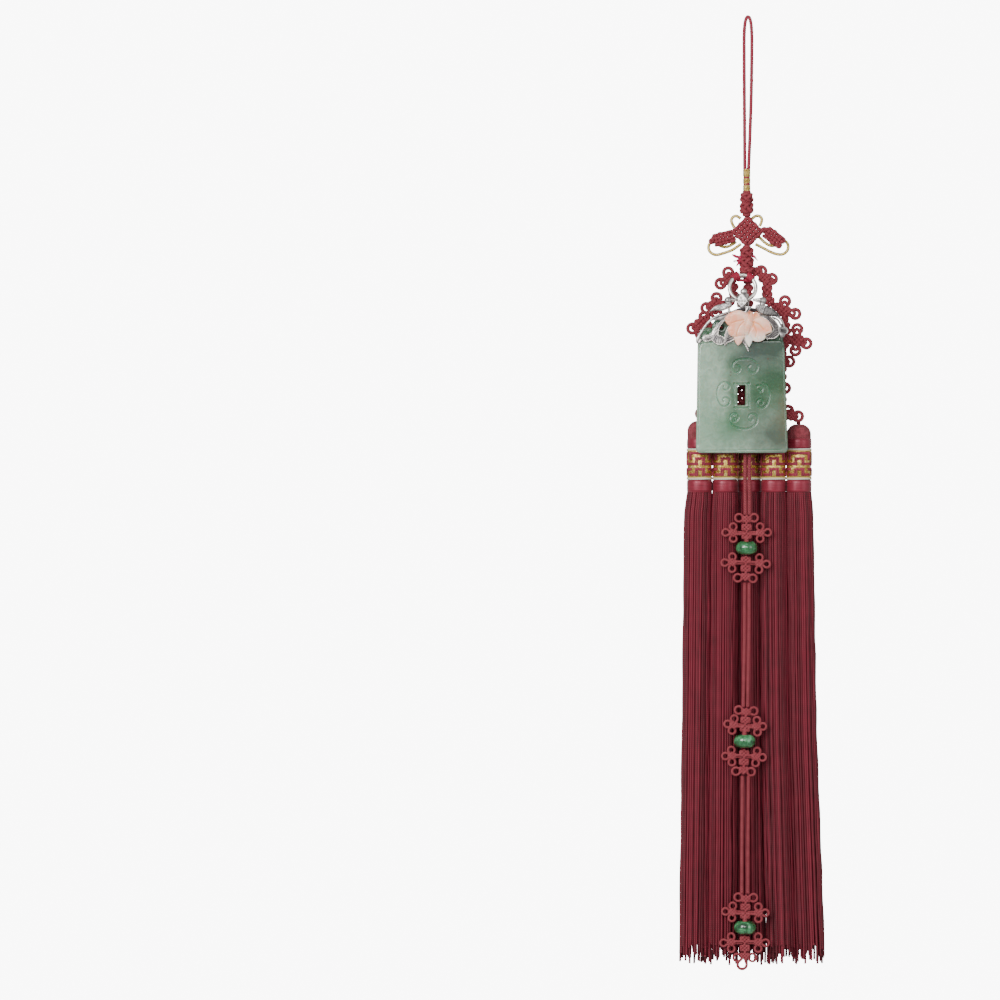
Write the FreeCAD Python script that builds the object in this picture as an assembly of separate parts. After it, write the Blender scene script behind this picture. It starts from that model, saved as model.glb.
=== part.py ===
import FreeCAD, Part
import math
import os

# A norigae: silk knotwork that carries a silver-mounted jade plaque with a coral butterfly,
# five tassels in a row, and a doubled drop cord with flower knots and three green beads.
# Millimetres. X is to the right seen from the front, Z is up and the front faces -Y.
# The origin is the inner crook of the hanging loop, where the whole thing hangs.

os.makedirs("parts", exist_ok=True)

# Cords
LOOP_CORD = 1.7
KNOT_CORD = 1.7
GOLD_CORD = 1.5
DROP_CORD = 1.8
FLOWER_CORD = 1.1
ARC_SHARE = 0.45

# Depths, from the front to the back
CORAL_FRONT = -11.9
CORAL_BACK = -10.1
LEAF_FRONT = -9.8
LEAF_BACK = -9.0
JADE_FRONT = -8.8
JADE_BACK = -4.8
CREST_FRONT = -7.3
DROP_Y = -3.6
CHAIN_Y = 1.0
LOWER_CHAIN_Y = 2.6
PANEL_Y = 3.4
GOLD_Y = 2.7
TASSEL_Y = 4.6

# Binding and knots on the axis
AXIS_X = -0.6
BINDING_TOP = -67.6
BINDING_BOTTOM = -78.0
BINDING_RADIUS = 1.75
NECK_TOP = -103.2
NECK_BOTTOM = -114.5

# Knot ears: rings of cord
EAR_RING = 2.05
FLOWER_RING = 1.3
CORE_DEPTH = 3.0

# Silver ring and the pendant's hinge in it
RING_X = -2.6
RING_Y = -4.5
RING_Z = -121.2
RING_RADIUS = 5.9
RING_WIRE = 0.88
RING_TILT = 14.0
BORE_RADIUS = 1.6
FINIAL_WIDTH = 5.2
FINIAL_DEPTH = 5.2
FINIAL_HEIGHT = 6.2
BALL_RADIUS = 1.6

# Tassels
DOME_RADIUS = 5.55
CORE_RADIUS = 5.15
SLEEVE_RADIUS = 5.65
SATIN_RADIUS = 5.5
SLEEVE_TOP = -193.4
SLEEVE_BOTTOM = -207.4
SATIN_BOTTOM = -213.1
SKIRT_LOCKS = 12
SKIRT_END = -418.0

# Green beads
BEAD_RADIUS = 4.95
BEAD_HEIGHT = 5.9
BEAD_BORE = 1.35

FRONT_AXIS = FreeCAD.Vector(0, 1, 0)


def vec(x, y, z):
    return FreeCAD.Vector(x, y, z)


def save(node, shape):
    """Write one solid as a STEP file of its own."""
    solid = shape.Solids[0] if len(shape.Solids) == 1 else shape
    print(f"{node}: solids {len(shape.Solids)}, valid {shape.isValid()}, volume {shape.Volume:.1f}")
    solid.exportStep(f"parts/{node}.step")


def fuse(shapes):
    if len(shapes) == 1:
        return shapes[0]
    return shapes[0].multiFuse(shapes[1:])


def tube(name, points, diameter):
    """A cord: straight runs joined by tangent arcs, swept with a round section."""
    edges = []
    radii = []
    start = points[0]
    for before, corner, after in zip(points, points[1:], points[2:]):
        back = before.sub(corner)
        ahead = after.sub(corner)
        half_turn = (math.pi - back.getAngle(ahead)) / 2
        trim = ARC_SHARE * min(back.Length, ahead.Length)
        radius = trim / math.tan(half_turn)
        back.normalize()
        ahead.normalize()
        enter = corner + back * trim
        leave = corner + ahead * trim
        inward = back + ahead
        inward.normalize()
        centre = corner + inward * (radius / math.cos(half_turn))
        middle = centre - inward * radius
        edges.append(Part.LineSegment(start, enter).toShape())
        edges.append(Part.Arc(enter, middle, leave).toShape())
        radii.append(radius)
        start = leave
    edges.append(Part.LineSegment(start, points[-1]).toShape())
    path = Part.Wire(edges)
    section = Part.Wire([Part.makeCircle(diameter / 2, points[0], points[1].sub(points[0]))])
    solid = path.makePipeShell([section], True, False)
    share = solid.Volume / (math.pi * diameter ** 2 / 4 * path.Length)
    listed = ", ".join(f"{radius:.1f}" for radius in radii)
    print(f"{name}: length {path.Length:.1f}, volume share {share:.3f}, radii {listed}")
    return solid


def flat_route(pairs, y):
    return [vec(x, y, z) for x, z in pairs]


def capsule(start, end, radius):
    """A short straight cord with rounded ends."""
    along = end.sub(start)
    barrel = Part.makeCylinder(radius, along.Length, start, along)
    return fuse([barrel, Part.makeSphere(radius, start), Part.makeSphere(radius, end)])


def cushion(x, y, z, radius, depth=CORE_DEPTH):
    """The tight crossed middle of a knot, as a round cushion with soft edges."""
    disc = Part.makeCylinder(radius, depth, vec(x, y - depth / 2, z), FRONT_AXIS)
    return disc.makeFillet(depth * 0.3, disc.Edges[:1] + disc.Edges[2:])


def ear(x, y, z, ring=EAR_RING, cord=KNOT_CORD):
    """A ring ear of cord that stands out of a knot."""
    return Part.makeTorus(ring, cord / 2, vec(x, y, z), FRONT_AXIS)


def arc_outline(pairs, y):
    """A closed wire of arcs, each through three points; every second point joins two arcs."""
    ring = [vec(x, y, z) for x, z in pairs]
    ring.append(ring[0])
    arcs = [Part.Arc(*ring[i:i + 3]).toShape() for i in range(0, len(pairs), 2)]
    return Part.Wire(arcs)


def plate(pairs, front, back):
    """A flat sheet with an outline of arcs."""
    return Part.Face(arc_outline(pairs, front)).extrude(vec(0, back - front, 0))


# Hanging loop: one cord bent into a hairpin, both legs bound together at the foot

FOOT_GAP = 0.05
LOOP_ROUTE = [
    (-1.45, BINDING_TOP + FOOT_GAP), (-1.55, -46.0), (-1.72, -22.0), (-1.76, LOOP_CORD / 2),
    (1.76, LOOP_CORD / 2), (1.70, -22.0), (1.20, -46.0), (0.26, BINDING_TOP + FOOT_GAP),
]
save("hanging_loop", tube("hanging_loop", flat_route(LOOP_ROUTE, 0), LOOP_CORD))

# Gold binding: thread whipped round the two legs, with a groove each side of its middle turns

GROOVE_DEPTH = 0.2
GROOVE_HEIGHT = 0.7
GROOVE_HEIGHTS = [-71.8, -74.8]
binding_height = BINDING_TOP - BINDING_BOTTOM
binding = Part.makeCylinder(BINDING_RADIUS, binding_height, vec(AXIS_X, 0, BINDING_BOTTOM))
for height in GROOVE_HEIGHTS:
    outer = Part.makeCylinder(BINDING_RADIUS + 1, GROOVE_HEIGHT, vec(AXIS_X, 0, height))
    inner = Part.makeCylinder(BINDING_RADIUS - GROOVE_DEPTH, GROOVE_HEIGHT, vec(AXIS_X, 0, height))
    binding = binding.cut(outer.cut(inner))
save("loop_binding", binding)


# Round knots on the axis: stacked bulges of tightly drawn cord

def stacked_knot(bulges):
    """bulges: (top, bottom, radius) of each bulge, touching its neighbours."""
    edges = [Part.LineSegment(vec(0, 0, bulges[-1][1]), vec(0, 0, bulges[0][0])).toShape()]
    waist = 0.62
    first = bulges[0]
    start = vec(first[2] * waist, 0, first[0])
    edges.append(Part.LineSegment(vec(0, 0, first[0]), start).toShape())
    for top, bottom, radius in bulges:
        end = vec(radius * waist, 0, bottom)
        if start.x != radius * waist:
            ledge = vec(radius * waist, 0, top)
            edges.append(Part.LineSegment(start, ledge).toShape())
            start = ledge
        edges.append(Part.Arc(start, vec(radius, 0, (top + bottom) / 2), end).toShape())
        start = end
    edges.append(Part.LineSegment(start, vec(0, 0, bulges[-1][1])).toShape())
    outline = Part.Face(Part.Wire(Part.__sortEdges__(edges)))
    solid = outline.revolve(vec(0, 0, 0), vec(0, 0, 1), 360)
    solid.translate(vec(AXIS_X, 0, 0))
    return solid


UPPER_BULGES = [(-78.2, -82.4, 2.7), (-82.4, -88.5, 3.0)]
NECK_BULGES = [(NECK_TOP, -107.6, 2.9), (-107.6, -112.0, 3.05), (-112.0, NECK_BOTTOM, 2.8)]
save("upper_knot", stacked_knot(UPPER_BULGES))
save("neck_knot", stacked_knot(NECK_BULGES))


# Lattice knots: two layers of parallel cords, one layer each way

def lattice(x, y, z, ways, pitch, cord, sink):
    """ways: number of cords each way; sink: overlap of the two layers."""
    span = (ways - 1) * pitch
    layers = []
    for side, angle in ((-1, 45), (1, -45)):
        depth = side * (cord / 2 - sink / 2)
        for way in range(ways):
            across = -span / 2 + way * pitch
            rod = capsule(vec(across, depth, -span / 2), vec(across, depth, span / 2), cord / 2)
            rod.rotate(vec(0, 0, 0), FRONT_AXIS, angle)
            layers.append(rod)
    solid = fuse(layers)
    solid.translate(vec(x, y, z))
    return solid


save("centre_knot", lattice(-0.2, 0, -95.85, 6, 1.8, 1.5, 0.3))

# Side knots: leaf-shaped, two columns of crossed cord with small ears round the rim
# columns: x, z of the middle, half length, half width, lean in degrees

SIDE_KNOTS = {
    "side_knot_left": (-11.9, -99.2, 5.5, 2.9, 12.0),
    "side_knot_right": (11.95, -98.6, 5.6, 2.9, -38.0),
}
SIDE_LUMPS = 4
for node, (x, z, half_length, half_width, lean) in SIDE_KNOTS.items():
    along = vec(math.cos(math.radians(lean)), 0, math.sin(math.radians(lean)))
    across = vec(-along.z, 0, along.x)
    middle = vec(x, 0, z)
    lumps = []
    for i in range(SIDE_LUMPS):
        share = -1 + 2 * i / (SIDE_LUMPS - 1)
        width = half_width * (0.55 if abs(share) == 1 else 0.78)
        for side in (-1, 1):
            spot = middle + along * (share * (half_length - 1.7)) + across * (side * (width - 0.9))
            lumps.append(Part.makeSphere(1.75, spot))
    save(node, fuse(lumps))

# Gold-wound cords: small ears above the side knots and long wings below them, passing behind

GOLD_ROUTES = {
    "gold_ear_left": [(-3.2, -89.9), (-4.7, -88.4), (-6.8, -89.0), (-7.75, -91.2), (-6.0, -93.9)],
    "gold_ear_right": [(1.6, -90.2), (3.2, -88.5), (5.6, -88.6), (6.75, -90.6), (5.4, -93.2)],
    "gold_wing_left": [
        (-3.0, -101.2), (-6.2, -103.8), (-10.4, -105.3), (-14.6, -106.5), (-17.6, -104.6),
        (-17.7, -101.3), (-15.2, -99.9), (-12.6, -102.3), (-8.6, -102.9), (-5.2, -100.2),
    ],
    "gold_wing_right": [
        (3.4, -101.3), (7.2, -103.2), (11.6, -105.6), (15.8, -106.3), (18.5, -103.8),
        (17.9, -100.2), (14.6, -99.4), (12.4, -102.4), (8.2, -101.6), (4.9, -97.8),
    ],
}
for node, route in GOLD_ROUTES.items():
    save(node, tube(node, flat_route(route, GOLD_Y), GOLD_CORD))


# Knot chains: one cord tied into a run of knots on each side, behind the ring and the plaque

def knot_chain(y, cores, ears, links):
    """cores: x, z, radius; ears: x, z; links: x, z, x, z, radius of a joining cord."""
    shapes = [cushion(x, y, z, radius) for x, z, radius in cores]
    shapes += [ear(x, y, z) for x, z in ears]
    shapes += [capsule(vec(a, y, b), vec(c, y, d), radius) for a, b, c, d, radius in links]
    return fuse(shapes)


def lower_cores(x, top, bottom, steps, radius):
    """A straight run of equal knots down one side, behind the plaque."""
    drop = (top - bottom) / (steps - 1)
    return [(x, top - drop * i, radius) for i in range(steps)]


KNOT_CHAINS = {
    "knot_chain_left_upper": (
        CHAIN_Y,
        [(-8.2, -117.0, 2.8), (-6.4, -121.3, 2.2), (-6.3, -124.9, 2.2), (-8.0, -128.0, 2.2),
         (-11.4, -129.0, 2.2), (-15.0, -129.2, 2.9), (-20.9, -137.3, 3.0), (-17.9, -138.6, 2.2)],
        [(-8.9, -114.2), (-12.3, -119.2), (-14.1, -125.7), (-18.7, -130.2), (-14.2, -132.6),
         (-19.6, -134.2), (-25.0, -139.4), (-21.2, -141.8)],
        [(-7.4, -115.8, -4.8, -114.3, 0.85), (-16.6, -131.2, -19.2, -134.2, 0.85)],
    ),
    "knot_chain_right_upper": (
        CHAIN_Y,
        [(5.8, -113.9, 2.6), (8.6, -114.6, 2.7), (10.7, -117.1, 2.7), (8.7, -120.6, 2.2),
         (8.5, -124.1, 2.2), (9.4, -127.5, 2.3), (12.5, -129.8, 2.2), (16.2, -131.8, 3.0),
         (16.6, -135.8, 1.7), (21.9, -144.6, 3.0), (17.0, -144.2, 2.6)],
        [(16.7, -127.1), (21.3, -132.8), (22.2, -139.7), (26.3, -146.1), (21.4, -149.2)],
        [(16.6, -136.0, 18.6, -141.6, 1.1), (16.9, -145.0, 16.9, -148.4, 1.2)],
    ),
    "knot_chain_left_lower": (
        LOWER_CHAIN_Y,
        lower_cores(-17.6, -147.2, -172.0, 8, 2.1) + [(-20.2, -176.0, 2.3)],
        [(-21.0, -177.7), (-19.9, -153.0), (-19.9, -166.0)],
        [(-17.8, -172.0, -19.8, -175.6, 1.1), (-17.6, -147.2, -17.7, -142.3, 1.0)],
    ),
    "knot_chain_right_lower": (
        LOWER_CHAIN_Y,
        lower_cores(15.4, -153.8, -175.4, 7, 2.1) + [(19.4, -178.6, 2.5)],
        [(18.7, -154.2), (16.8, -166.2), (18.2, -176.4), (22.6, -178.9)],
        [(15.6, -175.4, 19.0, -178.0, 1.1), (15.4, -153.8, 16.4, -150.4, 1.0)],
    ),
    "centre_chain": (
        CHAIN_Y + 1.6,
        lower_cores(0.2, -118.4, -149.6, 10, 2.3),
        [],
        [(0.2, -116.6, 0.2, -149.6, 0.9)],
    ),
}
for node, (y, cores, ears, links) in KNOT_CHAINS.items():
    save(node, knot_chain(y, cores, ears, links))

# Back panel: an open lattice of crossed cord between the side chains, behind the plaque

save("back_panel", lattice(-0.8, PANEL_Y, -165.4, 8, 2.5, KNOT_CORD, 0.35))


# Silver ring, tilted so that its foot stands forward of the knots, and the lashing over its top

def ring_point(angle, radius=RING_RADIUS):
    """A point of the ring's middle line, the angle counted from +X in the ring's own plane."""
    rise = radius * math.sin(math.radians(angle))
    tilt = math.radians(RING_TILT)
    across = radius * math.cos(math.radians(angle))
    return vec(RING_X + across, RING_Y + rise * math.sin(tilt), RING_Z + rise * math.cos(tilt))


def ring_torus(wire):
    normal = vec(0, math.cos(math.radians(RING_TILT)), -math.sin(math.radians(RING_TILT)))
    return Part.makeTorus(RING_RADIUS, wire, vec(RING_X, RING_Y, RING_Z), normal)


save("ring", ring_torus(RING_WIRE))

LASHING_CLEARANCE = 0.12
LASHING_RADIUS = 1.9
LASHING_HALF = 15.0
wraps = []
for angle in (120.0, 55.0):
    start = ring_point(angle - LASHING_HALF)
    along = ring_point(angle + LASHING_HALF).sub(start)
    wraps.append(Part.makeCylinder(LASHING_RADIUS, along.Length, start, along))
wraps.append(capsule(vec(-4.6, -3.2, -117.8), vec(0.1, -3.2, -118.0), 0.75))
wraps.append(capsule(vec(-4.1, -0.9, -116.2), vec(0.1, -0.9, -116.2), 0.85))
save("ring_lashing", fuse(wraps).cut(ring_torus(RING_WIRE + LASHING_CLEARANCE)))

# Silver mount: finial on the ring, two birds on a bar, leaves and stems, one soldered piece

bore_half_sag = (RING_RADIUS - math.sqrt(RING_RADIUS ** 2 - (FINIAL_WIDTH / 2) ** 2)) / 2
PIVOT = ring_point(-90, RING_RADIUS - bore_half_sag)
print(f"hinge axis through y {PIVOT.y:.3f}, z {PIVOT.z:.3f}")


def finial_cube(centre):
    """A cube with its eight corners cut off to the middles of the edges."""
    half = (FINIAL_WIDTH / 2, FINIAL_DEPTH / 2, FINIAL_HEIGHT / 2)

    def spot(signs):
        return centre + vec(*(sign * size for sign, size in zip(signs, half)))

    faces = []
    for axis in range(3):
        for side in (-1, 1):
            corners = []
            for a, b in ((1, 0), (0, 1), (-1, 0), (0, -1)):
                signs = [a, b]
                signs.insert(axis, side)
                corners.append(spot(signs))
            faces.append(Part.Face(Part.makePolygon(corners + corners[:1])))
    for sx in (-1, 1):
        for sy in (-1, 1):
            for sz in (-1, 1):
                corners = [spot((sx, sy, 0)), spot((sx, 0, sz)), spot((0, sy, sz))]
                faces.append(Part.Face(Part.makePolygon(corners + corners[:1])))
    return Part.Solid(Part.Shell(faces))


FINIAL_CENTRE = vec(RING_X, PIVOT.y - 0.1, -127.1)
BALL_CENTRE = vec(-2.2, PIVOT.y - 0.1, -123.1)

# Outlines in the X-Z plane, x then z, arcs through three points
BIRD_LEFT = [
    (-7.9, -129.2), (-10.7, -128.4), (-12.6, -128.9), (-15.4, -129.8),
    (-17.9, -132.7), (-15.8, -131.7), (-12.5, -131.9), (-9.8, -131.0),
]
BIRD_RIGHT = [
    (3.2, -131.2), (2.9, -129.8), (4.2, -128.8), (10.2, -130.6),
    (13.8, -134.1), (10.0, -134.2), (6.6, -133.8), (4.5, -132.7),
]
BAR = [
    (-10.8, -133.6), (-6.8, -131.4), (-2.5, -130.0), (5.0, -131.2),
    (11.6, -134.2), (4.5, -132.9), (-1.0, -131.9), (-6.5, -132.6),
]
BLADE_LEFT = [
    (-8.8, -132.4), (-12.5, -133.9), (-16.8, -135.8), (-13.0, -135.9),
    (-9.6, -134.8), (-8.4, -133.6),
]
LEAF_LEFT = [
    (-5.2, -133.2), (-11.8, -136.1), (-16.2, -140.7), (-16.4, -144.9),
    (-13.0, -146.9), (-11.3, -146.2), (-10.7, -144.9), (-11.9, -143.4),
    (-13.8, -143.0), (-13.4, -139.5), (-5.2, -135.2), (-4.9, -134.2),
]
CLUB_LEFT = [
    (-16.0, -141.5), (-17.6, -142.6), (-19.8, -142.8), (-20.8, -144.2),
    (-19.6, -145.4), (-17.8, -145.2), (-15.9, -144.1), (-15.8, -142.8),
]
LEAF_LOW = [
    (-7.2, -137.2), (-10.5, -141.5), (-10.7, -145.8), (-11.0, -146.8), (-10.4, -147.2),
    (-10.0, -146.3), (-8.9, -145.8), (-7.3, -145.0), (-5.0, -142.8), (-4.6, -140.0),
]
LEAF_CENTRE = [
    (-4.0, -142.6), (-2.4, -146.2), (-0.6, -149.8), (-0.3, -150.0),
    (0.0, -149.6), (-0.3, -147.0), (0.8, -142.9), (-1.5, -142.0),
]
LEAF_RIGHT = [
    (4.5, -132.8), (10.6, -135.1), (13.8, -139.7), (12.6, -143.3),
    (9.2, -144.2), (7.9, -143.9), (7.2, -143.0), (9.4, -142.2),
    (11.0, -140.0), (9.2, -136.9), (4.5, -134.0), (4.2, -133.4),
]
CLUB_RIGHT = [
    (13.4, -139.0), (14.9, -139.5), (16.3, -139.4), (17.4, -140.6),
    (16.0, -142.1), (14.7, -141.8), (13.4, -140.9), (13.2, -140.0),
]
STEM_LEFT = [
    (-8.0, -132.0), (-12.2, -133.5), (-16.4, -135.1), (-19.4, -138.2), (-21.8, -142.0),
    (-23.4, -145.0), (-22.6, -146.6), (-21.6, -144.6),
]
STEM_RIGHT = [(10.4, -133.5), (13.2, -134.4), (15.0, -136.3), (16.0, -139.6)]
STEM_Y = -9.5
BIRD_FRONT = -10.6
BIRD_BACK = -8.8
HEAD_Y = -9.2
HUB_RADIUS = 6.0
HEAD_RADIUS = 1.7

silver = [
    finial_cube(FINIAL_CENTRE),
    Part.makeSphere(BALL_RADIUS, BALL_CENTRE),
    capsule(vec(-2.5, -6.4, -129.2), vec(-2.5, -8.5, -131.2), 1.2),
    plate(BIRD_LEFT, BIRD_FRONT, BIRD_BACK),
    plate(BIRD_RIGHT, BIRD_FRONT, BIRD_BACK),
    Part.makeSphere(HEAD_RADIUS, vec(-9.3, HEAD_Y, -127.1)),
    Part.makeSphere(HEAD_RADIUS, vec(6.2, HEAD_Y, -127.3)),
    plate(BAR, -9.6, -7.7),
    Part.makeCylinder(0.6, 2.6, vec(-9.0, -9.2, -130.4), vec(0.3, 0, -1)),
    plate(BLADE_LEFT, -9.6, LEAF_BACK),
    Part.makeCylinder(HUB_RADIUS, LEAF_BACK - LEAF_FRONT, vec(-1.0, LEAF_FRONT, -138.0), FRONT_AXIS),
    Part.makeCylinder(1.3, 0.7, vec(15.0, -9.6, -142.4), FRONT_AXIS),
    capsule(vec(7.6, -9.4, -143.0), vec(8.3, -9.4, -144.7), 0.4),
    tube("stem_left", flat_route(STEM_LEFT, STEM_Y), 1.1),
    tube("stem_right", flat_route(STEM_RIGHT, STEM_Y), 1.0),
    Part.makeBox(2.0, 5.2, 1.3, vec(-1.6, -13.5, -131.2)),
    Part.makeBox(2.0, 0.5, 2.4, vec(-1.5, -13.5, -132.3)),
]
for start, end in ((vec(-9.3, HEAD_Y, -127.1), vec(-5.2, -8.5, -126.7)),
                   (vec(6.2, HEAD_Y, -127.3), vec(1.9, -8.5, -126.7))):
    along = end.sub(start)
    silver.append(Part.makeCone(1.1, 0.4, along.Length, start, along))
for outline in (LEAF_LEFT, CLUB_LEFT, LEAF_LOW, LEAF_CENTRE, LEAF_RIGHT, CLUB_RIGHT):
    silver.append(plate(outline, LEAF_FRONT, LEAF_BACK))
bore = Part.makeCylinder(BORE_RADIUS, 8.0, vec(FINIAL_CENTRE.x - 4, PIVOT.y, PIVOT.z), vec(1, 0, 0))
save("silver_mount", fuse(silver).cut(bore))

# Coral butterfly, carved in one piece and held in front of the leaves by a prong

WINGS_LEFT = [
    (-1.6, -132.4), (-4.9, -131.6), (-9.2, -133.2), (-10.8, -135.6), (-8.8, -138.6),
    (-9.7, -140.9), (-6.5, -143.8), (-3.0, -142.2), (-1.0, -138.0), (-0.6, -135.0),
]
WINGS_RIGHT = [
    (0.8, -134.2), (5.0, -134.3), (8.6, -136.6), (9.9, -139.3), (10.2, -141.1), (9.2, -141.9),
    (7.4, -142.8), (7.4, -144.2), (5.6, -145.6), (2.4, -145.5), (0.3, -142.6), (0.2, -138.0),
]
TAIL_LEFT = [
    (-6.4, -143.2), (-6.3, -145.6), (-5.2, -147.2), (-3.2, -145.1), (-2.0, -142.4), (-4.0, -142.0),
]
TAIL_RIGHT = [
    (-2.0, -142.6), (-1.7, -145.6), (0.0, -148.1), (1.2, -146.7), (1.7, -143.6), (0.0, -142.0),
]
FEELER_Y = -11.7
FEELER = [(0.4, -133.8), (1.6, -132.6), (3.6, -132.6), (4.6, -134.4)]
coral = [plate(outline, CORAL_FRONT, CORAL_BACK) for outline in
         (WINGS_LEFT, WINGS_RIGHT, TAIL_LEFT, TAIL_RIGHT)]
coral.append(capsule(vec(-0.2, -11.6, -133.2), vec(-1.8, -11.6, -142.4), 1.5))
coral.append(tube("feeler", flat_route(FEELER, FEELER_Y), 1.5))
save("butterfly", fuse(coral))

# Jade plaque: a slab with a carved crest behind the leaves and a framed slot through it

SLAB_CORNERS = [(-22.9, -144.9), (15.9, -144.7), (17.6, -195.5), (-23.6, -195.5)]
CORNER_RADIUS = 2.4
RIM_CHAMFER = 0.5
CREST = [
    (-21.6, -146.6), (-21.8, -141.6), (-18.4, -139.2), (-17.2, -139.2),
    (-16.3, -139.9), (-16.0, -137.2), (-13.0, -134.6), (-2.6, -133.2),
    (8.4, -134.6), (11.2, -137.2), (11.3, -139.9), (12.1, -139.3),
    (13.0, -139.4), (15.2, -142.0), (15.0, -146.4), (-2.8, -146.8),
]
corners = flat_route(SLAB_CORNERS, JADE_FRONT)
slab = Part.Face(Part.makePolygon(corners + corners[:1])).extrude(vec(0, JADE_BACK - JADE_FRONT, 0))
upright = [e for e in slab.Edges if abs(e.tangentAt(e.FirstParameter).y) > 0.99]
slab = slab.makeFillet(CORNER_RADIUS, upright)
front_face = min(slab.Faces, key=lambda face: face.CenterOfMass.y)
slab = slab.makeChamfer(RIM_CHAMFER, front_face.Edges)
jade = slab.fuse(plate(CREST, CREST_FRONT, JADE_BACK))
slot = Part.makeBox(3.5, 10, 9.0, vec(-5.05, -12, -174.05))
frame = Part.makeBox(7.3, 0.5, 11.9, vec(-6.85, JADE_FRONT, -175.75))
frame = frame.cut(Part.makeBox(5.5, 0.5, 10.6, vec(-6.05, JADE_FRONT, -174.95)))
crest_hole = Part.makeCylinder(0.6, 6, vec(-12.1, -9, -139.1), FRONT_AXIS)
save("jade_plaque", jade.cut(slot).cut(frame).cut(crest_hole))


# Tassels: a domed head and satin neck, a patterned gold sleeve on it, and a skirt of locks
# columns: x and y at the head, top of the dome, then x, y and lock radius down the skirt

def lobed_section(x, y, z, radius):
    """A closed outline of outward arcs, one for each lock."""
    arcs = []
    valley = 0.93
    for lock in range(SKIRT_LOCKS):
        turn = [2 * math.pi * (lock + share) / SKIRT_LOCKS for share in (0, 0.5, 1)]
        reach = [radius * valley, radius, radius * valley]
        spots = [vec(x + r * math.cos(t), y + r * math.sin(t), z) for r, t in zip(reach, turn)]
        arcs.append(Part.Arc(*spots).toShape())
    return Part.Wire(arcs)


SKIRT_LEVELS = [SATIN_BOTTOM + 0.5, -221.0, -320.0, SKIRT_END]
SKIRT_RADII = [5.45, 5.8, 6.0, 6.3]
TASSELS = [
    # x, y, dome top, top of the hanging cord, skirt x at the three lower levels, skirt y below
    (-21.8, TASSEL_Y, -180.9, (-21.6, 4.7, -179.4), (-22.5, -23.3, -24.3), TASSEL_Y),
    (-10.1, TASSEL_Y, -181.2, (-7.5, 3.9, -174.0), (-10.4, -11.0, -11.5), TASSEL_Y),
    (1.0, TASSEL_Y + 5.6, -181.6, (0.0, 6.1, -176.8), (1.0, 1.2, 1.9), TASSEL_Y + 3.0),
    (11.7, TASSEL_Y, -181.8, (6.1, 3.9, -173.4), (11.6, 12.6, 15.3), TASSEL_Y),
    (23.1, TASSEL_Y, -182.4, (22.9, 4.7, -181.0), (23.5, 24.9, 28.2), TASSEL_Y),
]
SHOULDER = 4.6
TIP_DROPS = [2.4, 6.2, 3.8, 7.4, 1.6, 5.0, 7.9, 3.0, 6.8, 4.4, 1.9, 5.6]
TIP_RADIUS = 0.9
HANGER_RADIUS = 0.9


def tassel(x, y, top, hang, skirt_x, foot_y):
    """The dome on its short cord, its core down to the skirt, and the skirt's fused locks."""
    crown = DOME_RADIUS - SHOULDER
    knee = SHOULDER * (1 - math.sqrt(0.5))
    profile = [
        Part.LineSegment(vec(0, 0, top), vec(crown, 0, top)).toShape(),
        Part.Arc(vec(crown, 0, top), vec(DOME_RADIUS - knee, 0, top - knee),
                 vec(DOME_RADIUS, 0, top - SHOULDER)).toShape(),
    ]
    steps = [
        (DOME_RADIUS, SLEEVE_TOP), (CORE_RADIUS, SLEEVE_TOP), (CORE_RADIUS, SLEEVE_BOTTOM),
        (SATIN_RADIUS, SLEEVE_BOTTOM), (SATIN_RADIUS, SATIN_BOTTOM), (0, SATIN_BOTTOM), (0, top),
    ]
    last = vec(DOME_RADIUS, 0, top - SHOULDER)
    for radius, height in steps:
        spot = vec(radius, 0, height)
        profile.append(Part.LineSegment(last, spot).toShape())
        last = spot
    head = Part.Face(Part.Wire(profile)).revolve(vec(0, 0, 0), vec(0, 0, 1), 360)
    head.translate(vec(x, y, 0))
    middles = [x] + list(skirt_x)
    depths = [y, y, (y + foot_y) / 2, foot_y]
    sections = [lobed_section(*row) for row in zip(middles, depths, SKIRT_LEVELS, SKIRT_RADII)]
    skirt = Part.makeLoft(sections, True, True)
    shapes = [head, skirt, capsule(vec(x, y, top - 1), vec(*hang), HANGER_RADIUS)]
    for lock, drop in enumerate(TIP_DROPS):
        turn = 2 * math.pi * (lock + 0.5) / SKIRT_LOCKS
        reach = SKIRT_RADII[-1] - TIP_RADIUS - 0.2
        spot = vec(middles[-1] + reach * math.cos(turn), foot_y + reach * math.sin(turn), 0)
        spot.z = SKIRT_END - drop
        shapes.append(Part.makeCylinder(TIP_RADIUS, drop + 1, spot))
    return fuse(shapes)


for number, row in enumerate(TASSELS, 1):
    x, y = row[:2]
    save(f"tassel_{number}", tassel(*row))
    height = SLEEVE_TOP - SLEEVE_BOTTOM - 0.2
    foot = vec(x, y, SLEEVE_BOTTOM + 0.1)
    sleeve = Part.makeCylinder(SLEEVE_RADIUS, height, foot)
    save(f"tassel_{number}_sleeve", sleeve.cut(Part.makeCylinder(CORE_RADIUS + 0.1, height, foot)))

# Drop cord: two strands side by side, hanging from the panel past the back of the plaque

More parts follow.
